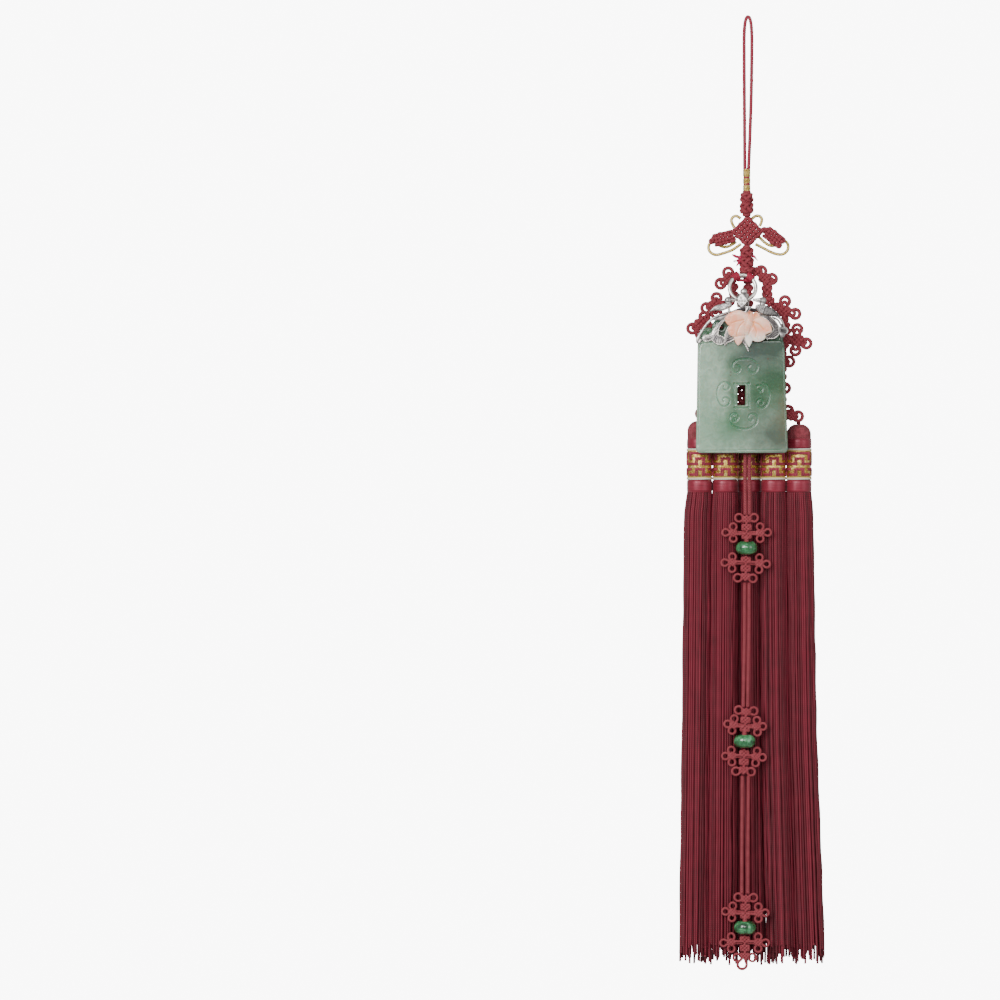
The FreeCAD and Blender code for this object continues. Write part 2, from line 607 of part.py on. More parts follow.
DROP_RUNS = {
    "drop_cord_upper": [
        (-1.35, -0.4, -183.2), (-1.35, -1.9, -189.0), (-1.4, DROP_Y, -196.0),
        (-1.5, DROP_Y, -209.5), (-1.35, DROP_Y, -223.0),
    ],
    "drop_cord_middle": [
        (-1.65, DROP_Y, -254.0), (-1.6, DROP_Y, -272.0), (-1.95, DROP_Y, -291.0),
        (-2.25, DROP_Y, -309.4),
    ],
    "drop_cord_lower": [
        (-2.7, DROP_Y, -340.8), (-2.75, DROP_Y, -358.0), (-2.95, DROP_Y, -376.0),
        (-2.95, DROP_Y, -393.3),
    ],
}
STRAND_GAPS = {"drop_cord_upper": 1.9, "drop_cord_middle": 1.95, "drop_cord_lower": 2.7}
for node, route in DROP_RUNS.items():
    for side, offset in (("left", 0.0), ("right", STRAND_GAPS[node])):
        strand = [vec(x + offset, y, z) for x, y, z in route]
        save(f"{node}_{side}", tube(f"{node}_{side}", strand, DROP_CORD))

# The panel's foot comes forward to the head of the drop cord in one tied knot

save("drop_knot", fuse([cushion(-0.4, 0.0, -180.4, 2.6), cushion(-0.4, 0.0, -177.2, 2.2)]))


# Flower knots: a centre column, two side knots of three ears, and a pair of ears at the far end
# the plain form points up from the bead; the lower ones are turned over

def flower_knot(x, z, way, lean, reach, end_loop):
    """x, z: middle of the face on the bead; way: 1 above the bead, -1 below it."""
    column = [(0, 2.2, 2.2), (0, 6.0, 2.2), (0, 9.6, 2.0)]
    sides = [(-1, 6.0), (1, 6.1)]
    shapes = [cushion(a, 0, b, radius, 2.6) for a, b, radius in column]
    for side, out in sides:
        middle = side * out * reach
        shapes.append(cushion(middle, 0, 3.4, 2.0, 2.4))
        shapes.append(capsule(vec(0, 0, 3.4), vec(middle, 0, 3.4), 0.9))
        shapes.append(ear(middle, 0, 6.3, FLOWER_RING, FLOWER_CORD))
        shapes.append(ear(middle + side * 3.4 * reach, 0, 3.7, FLOWER_RING, FLOWER_CORD))
        shapes.append(ear(middle + side * (1 - reach) * 4, 0, 0.9, FLOWER_RING, FLOWER_CORD))
        shapes.append(ear(side * 3.2, 0, 10.1, FLOWER_RING, FLOWER_CORD))
    if end_loop:
        shapes.append(ear(1.2, 0, 13.4, 2.05, 1.3))
    solid = fuse(shapes)
    if way < 0:
        solid.rotate(vec(0, 0, 0), FRONT_AXIS, 180)
    solid.rotate(vec(0, 0, 0), FRONT_AXIS, lean)
    if way > 0:
        thread = capsule(vec(0, 0, 2.0), vec(0, 0, 1.2 - BEAD_HEIGHT), FLOWER_CORD)
        solid = solid.fuse(thread)
    solid.translate(vec(x, DROP_Y, z))
    return solid


FLOWER_KNOTS = {
    # x, z, way, lean in degrees, sideways reach, end loop
    "flower_knot_1_upper": (-0.8, -234.9, 1, 0.0, 1.0, False),
    "flower_knot_1_lower": (-1.0, -241.4, -1, 2.0, 1.0, False),
    "flower_knot_2_upper": (-1.7, -321.5, 1, 4.0, 0.84, False),
    "flower_knot_2_lower": (-1.8, -328.3, -1, 2.0, 0.88, False),
    "flower_knot_3_upper": (-1.5, -405.5, 1, 2.0, 0.95, False),
    "flower_knot_3_lower": (-1.6, -411.9, -1, 0.0, 1.0, True),
}
for node, row in FLOWER_KNOTS.items():
    save(node, flower_knot(*row))

# Green beads: flattened round beads, drilled from top to bottom

BEADS = {"bead_1": (-0.9, -238.15), "bead_2": (-1.7, -324.95), "bead_3": (-1.55, -408.7)}
BEAD_SHOULDER = 2.7
half = BEAD_HEIGHT / 2
for node, (x, z) in BEADS.items():
    outline = Part.Wire([
        Part.LineSegment(vec(BEAD_BORE, 0, -half), vec(BEAD_BORE, 0, half)).toShape(),
        Part.LineSegment(vec(BEAD_BORE, 0, half), vec(BEAD_SHOULDER, 0, half)).toShape(),
        Part.Arc(vec(BEAD_SHOULDER, 0, half), vec(BEAD_RADIUS, 0, 0),
                 vec(BEAD_SHOULDER, 0, -half)).toShape(),
        Part.LineSegment(vec(BEAD_SHOULDER, 0, -half), vec(BEAD_BORE, 0, -half)).toShape(),
    ])
    bead = Part.Face(outline).revolve(vec(0, 0, 0), vec(0, 0, 1), 360)
    bead.translate(vec(x, DROP_Y, z))
    save(node, bead)
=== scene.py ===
import math
import random

import bmesh
import bpy
import numpy as np
from mathutils import Matrix, Vector, geometry


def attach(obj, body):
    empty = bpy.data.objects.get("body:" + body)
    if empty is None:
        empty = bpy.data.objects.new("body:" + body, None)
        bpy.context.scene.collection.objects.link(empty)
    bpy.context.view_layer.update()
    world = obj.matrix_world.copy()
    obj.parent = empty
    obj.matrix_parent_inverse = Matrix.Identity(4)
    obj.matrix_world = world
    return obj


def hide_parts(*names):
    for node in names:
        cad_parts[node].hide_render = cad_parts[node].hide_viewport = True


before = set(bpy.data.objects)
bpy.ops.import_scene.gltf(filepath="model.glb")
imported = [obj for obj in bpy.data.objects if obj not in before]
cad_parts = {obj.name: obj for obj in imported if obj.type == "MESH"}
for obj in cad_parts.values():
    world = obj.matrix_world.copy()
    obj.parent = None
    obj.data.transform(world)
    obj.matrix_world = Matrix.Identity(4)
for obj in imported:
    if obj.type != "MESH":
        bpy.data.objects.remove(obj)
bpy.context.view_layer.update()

# The camera stands level with the middle of the ornament's length and looks straight along +Y.
# The ornament hangs right of the middle of the view, before a lit white panel, under soft lamps.

MM = 0.001
VIEW_MIDDLE = (-0.1116, -0.2166)
VIEW_WIDTH = 0.45
LENS = 200.0
SENSOR = 36.0

camera_data = bpy.data.cameras.new("camera")
camera_data.lens = LENS
camera_data.sensor_width = SENSOR
camera_data.clip_end = 20.0
camera = bpy.data.objects.new("camera", camera_data)
camera.location = (VIEW_MIDDLE[0], -VIEW_WIDTH * LENS / SENSOR, VIEW_MIDDLE[1])
camera.rotation_euler = (math.pi / 2, 0, 0)
bpy.context.scene.collection.objects.link(camera)
bpy.context.scene.camera = camera

LAMPS = [
    # name, place, aim, width, height, watts
    ("lamp_left", (-0.9, -1.3, 0.35), (0.0, 0.0, -0.2), 0.7, 1.0, 28.0),
    ("lamp_right", (1.2, -1.2, 0.1), (0.0, 0.0, -0.25), 0.8, 1.0, 7.0),
    ("lamp_front", (-0.2, -2.2, 0.5), (0.0, 0.0, -0.2), 1.0, 0.6, 17.0),
]
for name, place, aim, width, height, watts in LAMPS:
    lamp_data = bpy.data.lights.new(name, "AREA")
    lamp_data.shape = "RECTANGLE"
    lamp_data.size = width
    lamp_data.size_y = height
    lamp_data.energy = watts
    lamp = bpy.data.objects.new(name, lamp_data)
    lamp.location = place
    lamp.rotation_euler = (Vector(aim) - Vector(place)).to_track_quat("-Z", "Y").to_euler()
    bpy.context.scene.collection.objects.link(lamp)

world = bpy.data.worlds.new("studio")
world.use_nodes = True
world.node_tree.nodes["Background"].inputs["Color"].default_value = (1.0, 1.0, 1.0, 1.0)
world.node_tree.nodes["Background"].inputs["Strength"].default_value = 0.55
bpy.context.scene.world = world

PANEL_Y = 3.6
PANEL_HALF = 0.68
PANEL_GLOW = 8.5
panel_mesh = bpy.data.meshes.new("light_panel")
panel_corners = [(VIEW_MIDDLE[0] + a * PANEL_HALF, PANEL_Y, VIEW_MIDDLE[1] + b * PANEL_HALF)
                 for a, b in ((-1, -1), (1, -1), (1, 1), (-1, 1))]
panel_mesh.from_pydata(panel_corners, [], [(0, 1, 2, 3)])
light_panel = bpy.data.objects.new("light_panel", panel_mesh)
bpy.context.scene.collection.objects.link(light_panel)
lit_white = bpy.data.materials.new("lit_white")
lit_white.use_nodes = True
lit_white.node_tree.nodes["Principled BSDF"].inputs["Base Color"].default_value = (0.9, 0.9, 0.9, 1)
lit_white.node_tree.nodes["Principled BSDF"].inputs["Emission Color"].default_value = (1, 1, 1, 1)
lit_white.node_tree.nodes["Principled BSDF"].inputs["Emission Strength"].default_value = PANEL_GLOW
panel_mesh.materials.append(lit_white)
light_panel.visible_diffuse = light_panel.visible_glossy = light_panel.visible_transmission = False

# Hanging loop: one round cord of crimson silk, braided from fine thread and bent into a hairpin.
# Both legs go down into the gold binding; its crook is where the whole ornament hangs.

LOOP_CORD = 1.7
LOOP_FOOT = -67.55
LOOP_ROUTE = [
    (-1.45, 0, LOOP_FOOT), (-1.55, 0, -46.0), (-1.72, 0, -22.0), (-1.76, 0, 0.85),
    (1.76, 0, 0.85), (1.70, 0, -22.0), (1.20, 0, -46.0), (0.26, 0, LOOP_FOOT),
]


def nurbs_line(route):
    """The smooth line of a cord, read from a NURBS spline with the route as its control points."""
    data = bpy.data.curves.new("route", "CURVE")
    data.dimensions = "3D"
    data.resolution_u = 24
    spline = data.splines.new("NURBS")
    spline.points.add(len(route) - 1)
    for point, place in zip(spline.points, route):
        point.co = (*place, 1)
    spline.order_u = 3
    spline.use_endpoint_u = True
    holder = bpy.data.objects.new("route", data)
    mesh = bpy.data.meshes.new_from_object(holder)
    line = np.array([vertex.co for vertex in mesh.vertices])
    bpy.data.objects.remove(holder)
    bpy.data.curves.remove(data)
    bpy.data.meshes.remove(mesh)
    return line


def even(line, step, closed=False):
    """The same line with its points about step apart."""
    line = np.asarray(line, float)
    if closed:
        line = np.vstack([line, line[:1]])
    run = np.concatenate([[0], np.cumsum(np.linalg.norm(np.diff(line, axis=0), axis=1))])
    count = max(int(round(run[-1] / step)), 3)
    marks = np.linspace(0, run[-1], count + 1)
    spaced = np.column_stack([np.interp(marks, run, line[:, axis]) for axis in range(3)])
    return spaced[:-1] if closed else spaced


def tube(line, radius, sides=8, closed=False, relief=None, tone=0.5, flat=1.0):
    """A cord round a line: points, faces, a corner map of turns and millimetres, and a tone."""
    line = np.asarray(line, float)
    radius = np.broadcast_to(np.asarray(radius, float), len(line))
    if closed:
        ahead = np.roll(line, -1, 0) - np.roll(line, 1, 0)
    else:
        out = (line[0] - line[1]) / np.linalg.norm(line[0] - line[1])
        far = (line[-1] - line[-2]) / np.linalg.norm(line[-1] - line[-2])
        ends = [line[0] + out * radius[0] * 0.3, line[-1] + far * radius[-1] * 0.3]
        line = np.vstack([ends[:1], line, ends[1:]])
        radius = np.concatenate([[radius[0] * 0.75], radius, [radius[-1] * 0.75]])
        ahead = np.gradient(line, axis=0)
    ahead = ahead / np.linalg.norm(ahead, axis=1)[:, None]
    count = len(line)
    across = np.empty_like(line)
    side = np.cross(ahead[0], (0.0, 1.0, 0.0))
    if np.linalg.norm(side) < 0.2:
        side = np.cross(ahead[0], (1.0, 0.0, 0.0))
    for i in range(count):
        side = side - ahead[i] * side.dot(ahead[i])
        side = side / np.linalg.norm(side)
        across[i] = side
    up = np.cross(ahead, across)
    if closed:
        back = side - ahead[0] * side.dot(ahead[0])
        slip = math.atan2(back.dot(up[0]), back.dot(across[0]))
        twist = -slip * np.arange(count) / count
        turned = across * np.cos(twist)[:, None] + up * np.sin(twist)[:, None]
        across, up = turned, np.cross(ahead, turned)
    lengths = np.linalg.norm(np.diff(line, axis=0), axis=1)
    run = np.concatenate([[0], np.cumsum(lengths)])
    whole = run[-1] + (np.linalg.norm(line[0] - line[-1]) if closed else 0)
    turn = np.arange(sides) / sides
    reach = np.repeat(radius[:, None], sides, axis=1)
    if relief is not None:
        reach = reach + relief(turn[None, :], run[:, None])
    angle = 2 * math.pi * turn
    round_part = across[:, None, :] * np.cos(angle)[None, :, None]
    round_part = round_part + up[:, None, :] * np.sin(angle)[None, :, None] * flat
    points = (line[:, None, :] + reach[..., None] * round_part).reshape(-1, 3)
    rings = count if closed else count - 1
    i, j = np.meshgrid(np.arange(rings), np.arange(sides), indexing="ij")
    i, j = i.ravel(), j.ravel()
    k, m = (i + 1) % count, (j + 1) % sides
    faces = np.column_stack([i * sides + j, i * sides + m, k * sides + m, k * sides + j])
    stops = np.append(run, whole)
    u0, u1, v0, v1 = j / sides, (j + 1) / sides, stops[i], stops[i + 1]
    corner_map = np.stack([np.stack([u0, v0], 1), np.stack([u1, v0], 1),
                           np.stack([u1, v1], 1), np.stack([u0, v1], 1)], 1)
    if not closed:
        middles = [line[0], line[-1]]
        points = np.vstack([points, middles])
        caps = []
        for j in range(0, sides, 2):
            a, b, c = j, j + 1, (j + 2) % sides
            last = (count - 1) * sides
            caps.append((count * sides, c, b, a))
            caps.append((count * sides + 1, last + a, last + b, last + c))
        faces = np.vstack([faces, caps])
        corner_map = np.concatenate([corner_map, np.zeros((len(caps), 4, 2))])
    return points, faces, corner_map, np.full(len(points), tone)


def piece(name, parts, *materials, sharp=None):
    """One object from parts, in millimetres; a part's fifth value picks its material."""
    corners, starts, maps, tones, points, slots, total, corner_count = [], [], [], [], [], [], 0, 0
    for part in parts:
        co, faces, corner_map, tone = part[:4]
        faces = np.asarray(faces)
        corners.append((faces + total).ravel())
        starts.append(corner_count + np.arange(len(faces)) * faces.shape[1])
        maps.append(corner_map.reshape(-1, 2))
        tones.append(tone)
        points.append(co)
        slots.append(np.full(len(faces), part[4] if len(part) > 4 else 0))
        total += len(co)
        corner_count += faces.size
    mesh = bpy.data.meshes.new(name)
    mesh.vertices.add(total)
    mesh.vertices.foreach_set("co", (np.concatenate(points) * MM).ravel())
    corners = np.concatenate(corners)
    starts = np.concatenate(starts)
    mesh.loops.add(len(corners))
    mesh.loops.foreach_set("vertex_index", corners)
    mesh.polygons.add(len(starts))
    mesh.polygons.foreach_set("loop_start", starts)
    mesh.polygons.foreach_set("use_smooth", np.ones(len(starts), bool))
    mesh.polygons.foreach_set("material_index", np.concatenate(slots))
    layer = mesh.uv_layers.new(name="UVMap")
    layer.data.foreach_set("uv", np.concatenate(maps).ravel())
    tone_layer = mesh.attributes.new("tone", "FLOAT", "POINT")
    tone_layer.data.foreach_set("value", np.concatenate(tones))
    mesh.update(calc_edges=True)
    mesh.validate()
    if sharp is not None:
        mesh.set_sharp_from_angle(angle=math.radians(sharp))
    for material in materials:
        mesh.materials.append(material)
    made = bpy.data.objects.new(name, mesh)
    bpy.context.scene.collection.objects.link(made)
    return made


def plain_material(name):
    material = bpy.data.materials.new(name)
    material.use_nodes = True
    return material, material.node_tree


def add(tree, kind, inputs=None, **settings):
    """A shader node; its inputs are constants or other nodes' outputs. Gives its first output."""
    made = tree.nodes.new("ShaderNode" + kind)
    for name, value in settings.items():
        setattr(made, name, value)
    for place, value in (inputs or {}).items():
        if isinstance(value, bpy.types.NodeSocket):
            tree.links.new(value, made.inputs[place])
        else:
            made.inputs[place].default_value = value
    return made.outputs[0]


def calc(tree, operation, *values):
    return add(tree, "Math", dict(enumerate(values)), operation=operation)


def blend_colours(tree, factor, first, second, kind="MIX"):
    return add(tree, "MixRGB", {"Fac": factor, "Color1": first, "Color2": second}, blend_type=kind)


def colour_ramp(tree, factor, stops):
    made = tree.nodes.new("ShaderNodeValToRGB")
    elements = made.color_ramp.elements
    for i, (place, colour) in enumerate(stops):
        element = elements[i] if i < 2 else elements.new(place)
        element.position = place
        element.color = (*colour, 1)
    tree.links.new(factor, made.inputs[0])
    return made.outputs[0]


def finish(tree, colour, height=None, depth=0.0001, strength=1.0, rough=None, **constants):
    """Joins a colour and a height to the material's shader and sets what is the same all over."""
    shader = tree.nodes["Principled BSDF"]
    for name, value in constants.items():
        shader.inputs[name.replace("_", " ")].default_value = value
    tree.links.new(colour, shader.inputs["Base Color"])
    if rough is not None:
        tree.links.new(rough, shader.inputs["Roughness"])
    if height is not None:
        bump = add(tree, "Bump", {"Height": height, "Distance": depth, "Strength": strength})
        tree.links.new(bump, shader.inputs["Normal"])


def ridges(tree, phase):
    """Rounded ridges, one to each whole step of the phase."""
    return calc(tree, "ABSOLUTE", calc(tree, "SINE", calc(tree, "MULTIPLY", phase, math.pi)))


def braid_height(tree, pitch, columns, skew, crossed):
    """Height of braided thread: strands that cross in small cells, or chevrons down the cord."""
    place = add(tree, "UVMap", uv_map="UVMap")
    split = add(tree, "SeparateXYZ", {0: place}).node
    along = calc(tree, "DIVIDE", split.outputs[1], pitch)
    waves = []
    for side in (1, -1):
        if crossed:
            lean = calc(tree, "MULTIPLY", split.outputs[0], side * float(columns))
        else:
            part = calc(tree, "FRACT", calc(tree, "MULTIPLY", split.outputs[0], float(columns)))
            folded = calc(tree, "MULTIPLY_ADD", part, 2, -1)
            lean = calc(tree, "MULTIPLY", calc(tree, "ABSOLUTE", folded), skew)
        waves.append(ridges(tree, calc(tree, "ADD", along, lean)))
    return calc(tree, "POWER", calc(tree, "MINIMUM", *waves), 0.6)


def silk(name, deep, main, bright, pitch=1.1, columns=2, skew=0.9, braided=True, rough=0.5, crossed=False):
    """Dyed silk with a sheen; when braided, painted shade darkens the grooves between threads, so their crowns look
    brighter.
    """
    material, tree = plain_material(name)
    place = add(tree, "TexCoord").node.outputs["Object"]
    cloud = add(tree, "TexNoise", {"Vector": place, "Scale": 420.0, "Detail": 4.0})
    fibre = add(tree, "TexNoise", {"Vector": place, "Scale": 5200.0, "Detail": 2.0})
    tone = add(tree, "Attribute", attribute_name="tone").node.outputs["Fac"]
    share = calc(tree, "ADD", calc(tree, "MULTIPLY", cloud, 0.6), calc(tree, "MULTIPLY", tone, 0.5))
    colour = colour_ramp(tree, share, [(0.25, main), (0.85, bright)])
    if braided:
        wave = braid_height(tree, pitch, columns, skew, crossed)
        # painted shade: the grooves between braided threads are mixed towards the deep colour
        colour = blend_colours(tree, wave, (*deep, 1), colour)
        height = calc(tree, "ADD", wave, calc(tree, "MULTIPLY", fibre, 0.25))
    else:
        height = fibre
        colour = blend_colours(tree, calc(tree, "MULTIPLY_ADD", fibre, 1.1, 0.25), (*deep, 1), colour)
    finish(tree, colour, height, depth=0.00015 if braided else 0.00006, Roughness=rough,
           Sheen_Weight=0.12, Sheen_Roughness=0.4, Sheen_Tint=(*bright, 1), Specular_IOR_Level=0.3)
    return material


def dress(obj, body, slot, *nodes):
    """Hangs a finished piece on its body in the place of the solids that it stands for."""
    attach(obj, body)
    if nodes:
        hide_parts(*nodes)
    return obj


# CRIMSON_DEEP is painted shade in the braid's grooves for loop_silk, and the dark of the fibre noise for plain_silk
CRIMSON_DEEP = (0.045, 0.003, 0.007)
CRIMSON = (0.24, 0.017, 0.034)
CRIMSON_BRIGHT = (0.42, 0.050, 0.078)
loop_silk = silk("loop_silk", CRIMSON_DEEP, CRIMSON, CRIMSON_BRIGHT, pitch=0.9)


def braid_relief(pitch, depth, columns=2, skew=0.9):
    """The same chevrons as the silk's, as a height for tube()."""
    def height(turn, run):
        lean = skew * np.abs(2 * ((turn * columns) % 1) - 1)
        wave = np.abs(np.sin(math.pi * (run / pitch + lean))) ** 0.6
        return depth * (wave - 1)
    return height


def free_cord(name, route, diameter, step, node, material, slot, pitch):
    """A braided silk cord on its route."""
    line = even(nurbs_line(route), step)
    made = piece(name, [tube(line, diameter / 2, 12, relief=braid_relief(pitch, 0.16))], material)
    dress(made, "knotwork", slot, node)
    return made


free_cord("loop_cord", LOOP_ROUTE, LOOP_CORD, 0.2, "hanging_loop", loop_silk, "silk_cord", 0.9)

# Gold binding: flat gilt thread whipped tightly round the two legs of the loop, turn against turn.
# Two crimson turns are let in above and below its middle.

BINDING_X = -0.6
BINDING_TOP = -67.6
BINDING_BOTTOM = -78.0
BINDING_RADIUS = 1.75
GOLD_TURN = 0.34


def laid_thread_tree():
    """A node tree that lays a thread of twisted plies along each line of a mesh."""
    tree = bpy.data.node_groups.new("laid_thread", "GeometryNodeTree")
    for name, kind in (("Lines", "Geometry"), ("Thread Radius", "Float"), ("Sides", "Int"),
                       ("Plies", "Float"), ("Ply Depth", "Float"), ("Turns per Metre", "Float"),
                       ("Step", "Float"), ("Thread Material", "Material")):
        tree.interface.new_socket(name=name, in_out="INPUT", socket_type="NodeSocket" + kind)
    tree.interface.new_socket(name="Threads", in_out="OUTPUT", socket_type="NodeSocketGeometry")

    def put(kind, inputs=None, **settings):
        made = tree.nodes.new(kind)
        for name, value in settings.items():
            setattr(made, name, value)
        for place, value in (inputs or {}).items():
            if isinstance(value, bpy.types.NodeSocket):
                tree.links.new(value, made.inputs[place])
            else:
                made.inputs[place].default_value = value
        return made

    def sums(operation, *values):
        return put("ShaderNodeMath", dict(enumerate(values)), operation=operation).outputs[0]

    sizes = put("NodeGroupInput").outputs
    circle = put("GeometryNodeCurvePrimitiveCircle", {"Resolution": sizes["Sides"], "Radius": sizes["Thread Radius"]})
    angle = sums("MULTIPLY", put("GeometryNodeSplineParameter").outputs["Factor"], 2 * math.pi)
    lay = put("ShaderNodeCombineXYZ", {0: sums("COSINE", angle), 1: sums("SINE", angle)})
    profile = put("GeometryNodeStoreNamedAttribute",
                  {"Geometry": circle.outputs[0], "Name": "lay", "Value": lay.outputs[0]},
                  data_type="FLOAT_VECTOR", domain="POINT")
    bulge = sums("MULTIPLY_ADD", sums("COSINE", sums("MULTIPLY", angle, sizes["Plies"])), sizes["Ply Depth"], 1.0)
    spot = put("GeometryNodeInputPosition")
    lobed = put("ShaderNodeVectorMath", {0: spot.outputs[0], "Scale": bulge}, operation="SCALE")
    section = put("GeometryNodeSetPosition", {"Geometry": profile.outputs[0], "Position": lobed.outputs[0]})
    lines = put("GeometryNodeMeshToCurve", {"Mesh": sizes["Lines"]})
    spaced = put("GeometryNodeResampleCurve", {"Curve": lines.outputs[0], "Length": sizes["Step"]}, mode="LENGTH")
    run = put("GeometryNodeSplineParameter").outputs["Length"]
    marked = put("GeometryNodeStoreNamedAttribute", {"Geometry": spaced.outputs[0], "Name": "run", "Value": run},
                 data_type="FLOAT", domain="POINT")
    tilt = sums("MULTIPLY", sums("MULTIPLY", run, sizes["Turns per Metre"]), 2 * math.pi)
    twisted = put("GeometryNodeSetCurveTilt", {"Curve": marked.outputs[0], "Tilt": tilt})
    threads = put("GeometryNodeCurveToMesh",
                  {"Curve": twisted.outputs[0], "Profile Curve": section.outputs[0], "Fill Caps": True})
    smooth = put("GeometryNodeSetShadeSmooth", {"Geometry": threads.outputs[0]})
    real = put("GeometryNodeRealizeInstances", {"Geometry": smooth.outputs[0]})
    coated = put("GeometryNodeSetMaterial", {"Geometry": real.outputs[0], "Material": sizes["Thread Material"]})
    put("NodeGroupOutput", {"Threads": coated.outputs[0]})
    return tree


LAID_THREAD = laid_thread_tree()


def laid(name, lines, radius, material, sides=8, plies=2, ply_depth=0.2, turns=900.0, step=0.15, tones=None,
         closed=False):
    """Threads along lines, in millimetres, as one plain mesh; turns are per metre."""
    points, edges, shades = [], [], []
    for k, line in enumerate(lines):
        first = len(points)
        points.extend(np.asarray(line) * MM)
        edges.extend((i, i + 1) for i in range(first, len(points) - 1))
        if closed:
            edges.append((len(points) - 1, first))
        shades.extend([0.5 if tones is None else tones[k]] * len(line))
    mesh = bpy.data.meshes.new(name + "_lines")
    mesh.from_pydata(points, edges, [])
    mesh.attributes.new("tone", "FLOAT", "POINT").data.foreach_set("value", shades)
    made = bpy.data.objects.new(name, mesh)
    bpy.context.scene.collection.objects.link(made)
    modifier = made.modifiers.new("threads", "NODES")
    modifier.node_group = LAID_THREAD
    values = {"Thread Radius": radius * MM, "Sides": sides, "Plies": float(plies), "Ply Depth": ply_depth,
              "Turns per Metre": float(turns), "Step": step * MM, "Thread Material": material}
    for item in LAID_THREAD.interface.items_tree:
        if item.in_out == "INPUT" and item.name in values:
            modifier[item.identifier] = values[item.name]
    plain = bpy.data.meshes.new_from_object(made.evaluated_get(bpy.context.evaluated_depsgraph_get()))
    plain.name = name
    made.modifiers.remove(modifier)
    made.data = plain
    return made


def joined(name, *objects):
    """Several finished pieces as one."""
    bpy.ops.object.select_all(action="DESELECT")
    for obj in objects:
        obj.select_set(True)
    bpy.context.view_layer.objects.active = objects[0]
    bpy.ops.object.join()
    objects[0].name = name
    objects[0].data.name = name
    return objects[0]


def turn_share(tree):
    """How far round a laid thread a point lies, from 0 to 1, and how far along it, in metres."""
    lay = add(tree, "Attribute", attribute_name="lay").node.outputs["Vector"]
    split = add(tree, "SeparateXYZ", {0: lay}).node
    share = calc(tree, "DIVIDE", calc(tree, "ARCTAN2", split.outputs[1], split.outputs[0]), 2 * math.pi)
    run = add(tree, "Attribute", attribute_name="run").node.outputs["Fac"]
    return share, run


def gilt(name, pitch, deep, main, bright, rough=0.34, metallic=0.85):
    """Gilt foil wound on a thread: bright turns, with dark brown painted shade in the seams between them."""
    material, tree = plain_material(name)
    share, run = turn_share(tree)
    wave = ridges(tree, calc(tree, "ADD", calc(tree, "DIVIDE", run, pitch * MM), share))
    wave = calc(tree, "POWER", wave, 0.5)
    place = add(tree, "TexCoord").node.outputs["Object"]
    wear = add(tree, "TexNoise", {"Vector": place, "Scale": 900.0, "Detail": 3.0})
    colour = colour_ramp(tree, wear, [(0.35, main), (0.65, bright)])
    # painted shade: the seams between turns are mixed towards the deep colour
    colour = blend_colours(tree, wave, (*deep, 1), colour)
    finish(tree, colour, wave, depth=0.00008, Roughness=rough, Metallic=metallic)
    return material


# GOLD_DEEP is the painted shade in the seams of the gilt thread
GOLD_DEEP = (0.09, 0.05, 0.02)
GOLD = (0.66, 0.43, 0.09)
GOLD_BRIGHT = (0.98, 0.78, 0.28)
wound_gold = gilt("wound_gold", GOLD_TURN, GOLD_DEEP, GOLD, GOLD_BRIGHT)
plain_silk = silk("plain_silk", CRIMSON_DEEP, CRIMSON, CRIMSON_BRIGHT, braided=False, rough=0.42)


def helix(x, y, top, bottom, radius, pitch, taper=0.0):
    """Turns of thread down a post; the radius shrinks by taper at each end."""
    turns = (top - bottom) / pitch
    angle = np.linspace(0, 2 * math.pi * turns, int(turns * 20))
    share = angle / angle[-1]
    reach = radius - taper * np.abs(2 * share - 1) ** 6
    return np.column_stack([x + reach * np.cos(angle), y + reach * np.sin(angle), top - (top - bottom) * share])


CRIMSON_TURNS = [-71.45, -74.45]
gold_wraps = []
edge = BINDING_TOP
for turn in CRIMSON_TURNS + [BINDING_BOTTOM]:
    gold_wraps.append(helix(BINDING_X, 0, edge - 0.1, turn + 0.3, BINDING_RADIUS - 0.17, GOLD_TURN, 0.1))
    edge = turn - 0.3
whipping = laid("binding_gold", gold_wraps, 0.18, wound_gold, sides=6, plies=0, ply_depth=0, turns=0, step=0.5)
bands = [helix(BINDING_X, 0, z + 0.22, z - 0.22, BINDING_RADIUS - 0.3, 0.22) for z in CRIMSON_TURNS]
let_in = laid("binding_crimson", bands, 0.16, plain_silk, sides=6, plies=0, ply_depth=0, turns=0, step=0.5)
POST_LINE = [(BINDING_X, 0, BINDING_TOP - 0.2), (BINDING_X, 0, -72.0), (BINDING_X, 0, BINDING_BOTTOM + 0.2)]
post = piece("binding_post", [tube(POST_LINE, BINDING_RADIUS - 0.4, 16)], plain_silk)
binding = joined("loop_whipping", whipping, let_in, post)
dress(binding, "knotwork", "gold_thread", "loop_binding")

# Round knots above and below the diamond: button knots of the same crimson braid, drawn tight.
# Each bulge is one cord that circles the axis over and under itself, round the cord's own core.

KNOT_AXIS_X = -0.6
# knot_silk's first colour is painted shade for the grooves of its braid
knot_silk = silk("knot_silk", (0.105, 0.008, 0.014), (0.215, 0.019, 0.029), (0.42, 0.066, 0.084), pitch=0.75,
                 columns=6, crossed=True)
FINE_RELIEF = 0.32


def round_knot(x, y, top, bottom, radius, cord, leads, bights, start=0.0):
    """One bulge: a cord that goes round leads times and crosses itself over and under."""
    turn = np.linspace(0, 2 * math.pi * leads, leads * bights * 20, endpoint=False)
    phase = turn * bights / leads
    over = np.sin((leads - 1) * phase) if leads % 2 else np.cos((leads - 1) * phase)
    lift = ((top - bottom) / 2 - cord * 0.5) * np.sin(phase)
    belly = np.sqrt(1 - (0.5 * np.sin(phase)) ** 2)
    reach = (radius - cord * 0.78) * belly + 0.28 * cord * over
    line = np.column_stack([x + reach * np.cos(turn + start), y + reach * np.sin(turn + start),
                            (top + bottom) / 2 + lift])
    return tube(even(line, FINE_RELIEF, closed=True), cord / 2, 8, closed=True)


def core_cord(x, y, top, bottom, radius):
    return tube(even([(x, y, top), (x, y, bottom)], 0.8), radius, 10)


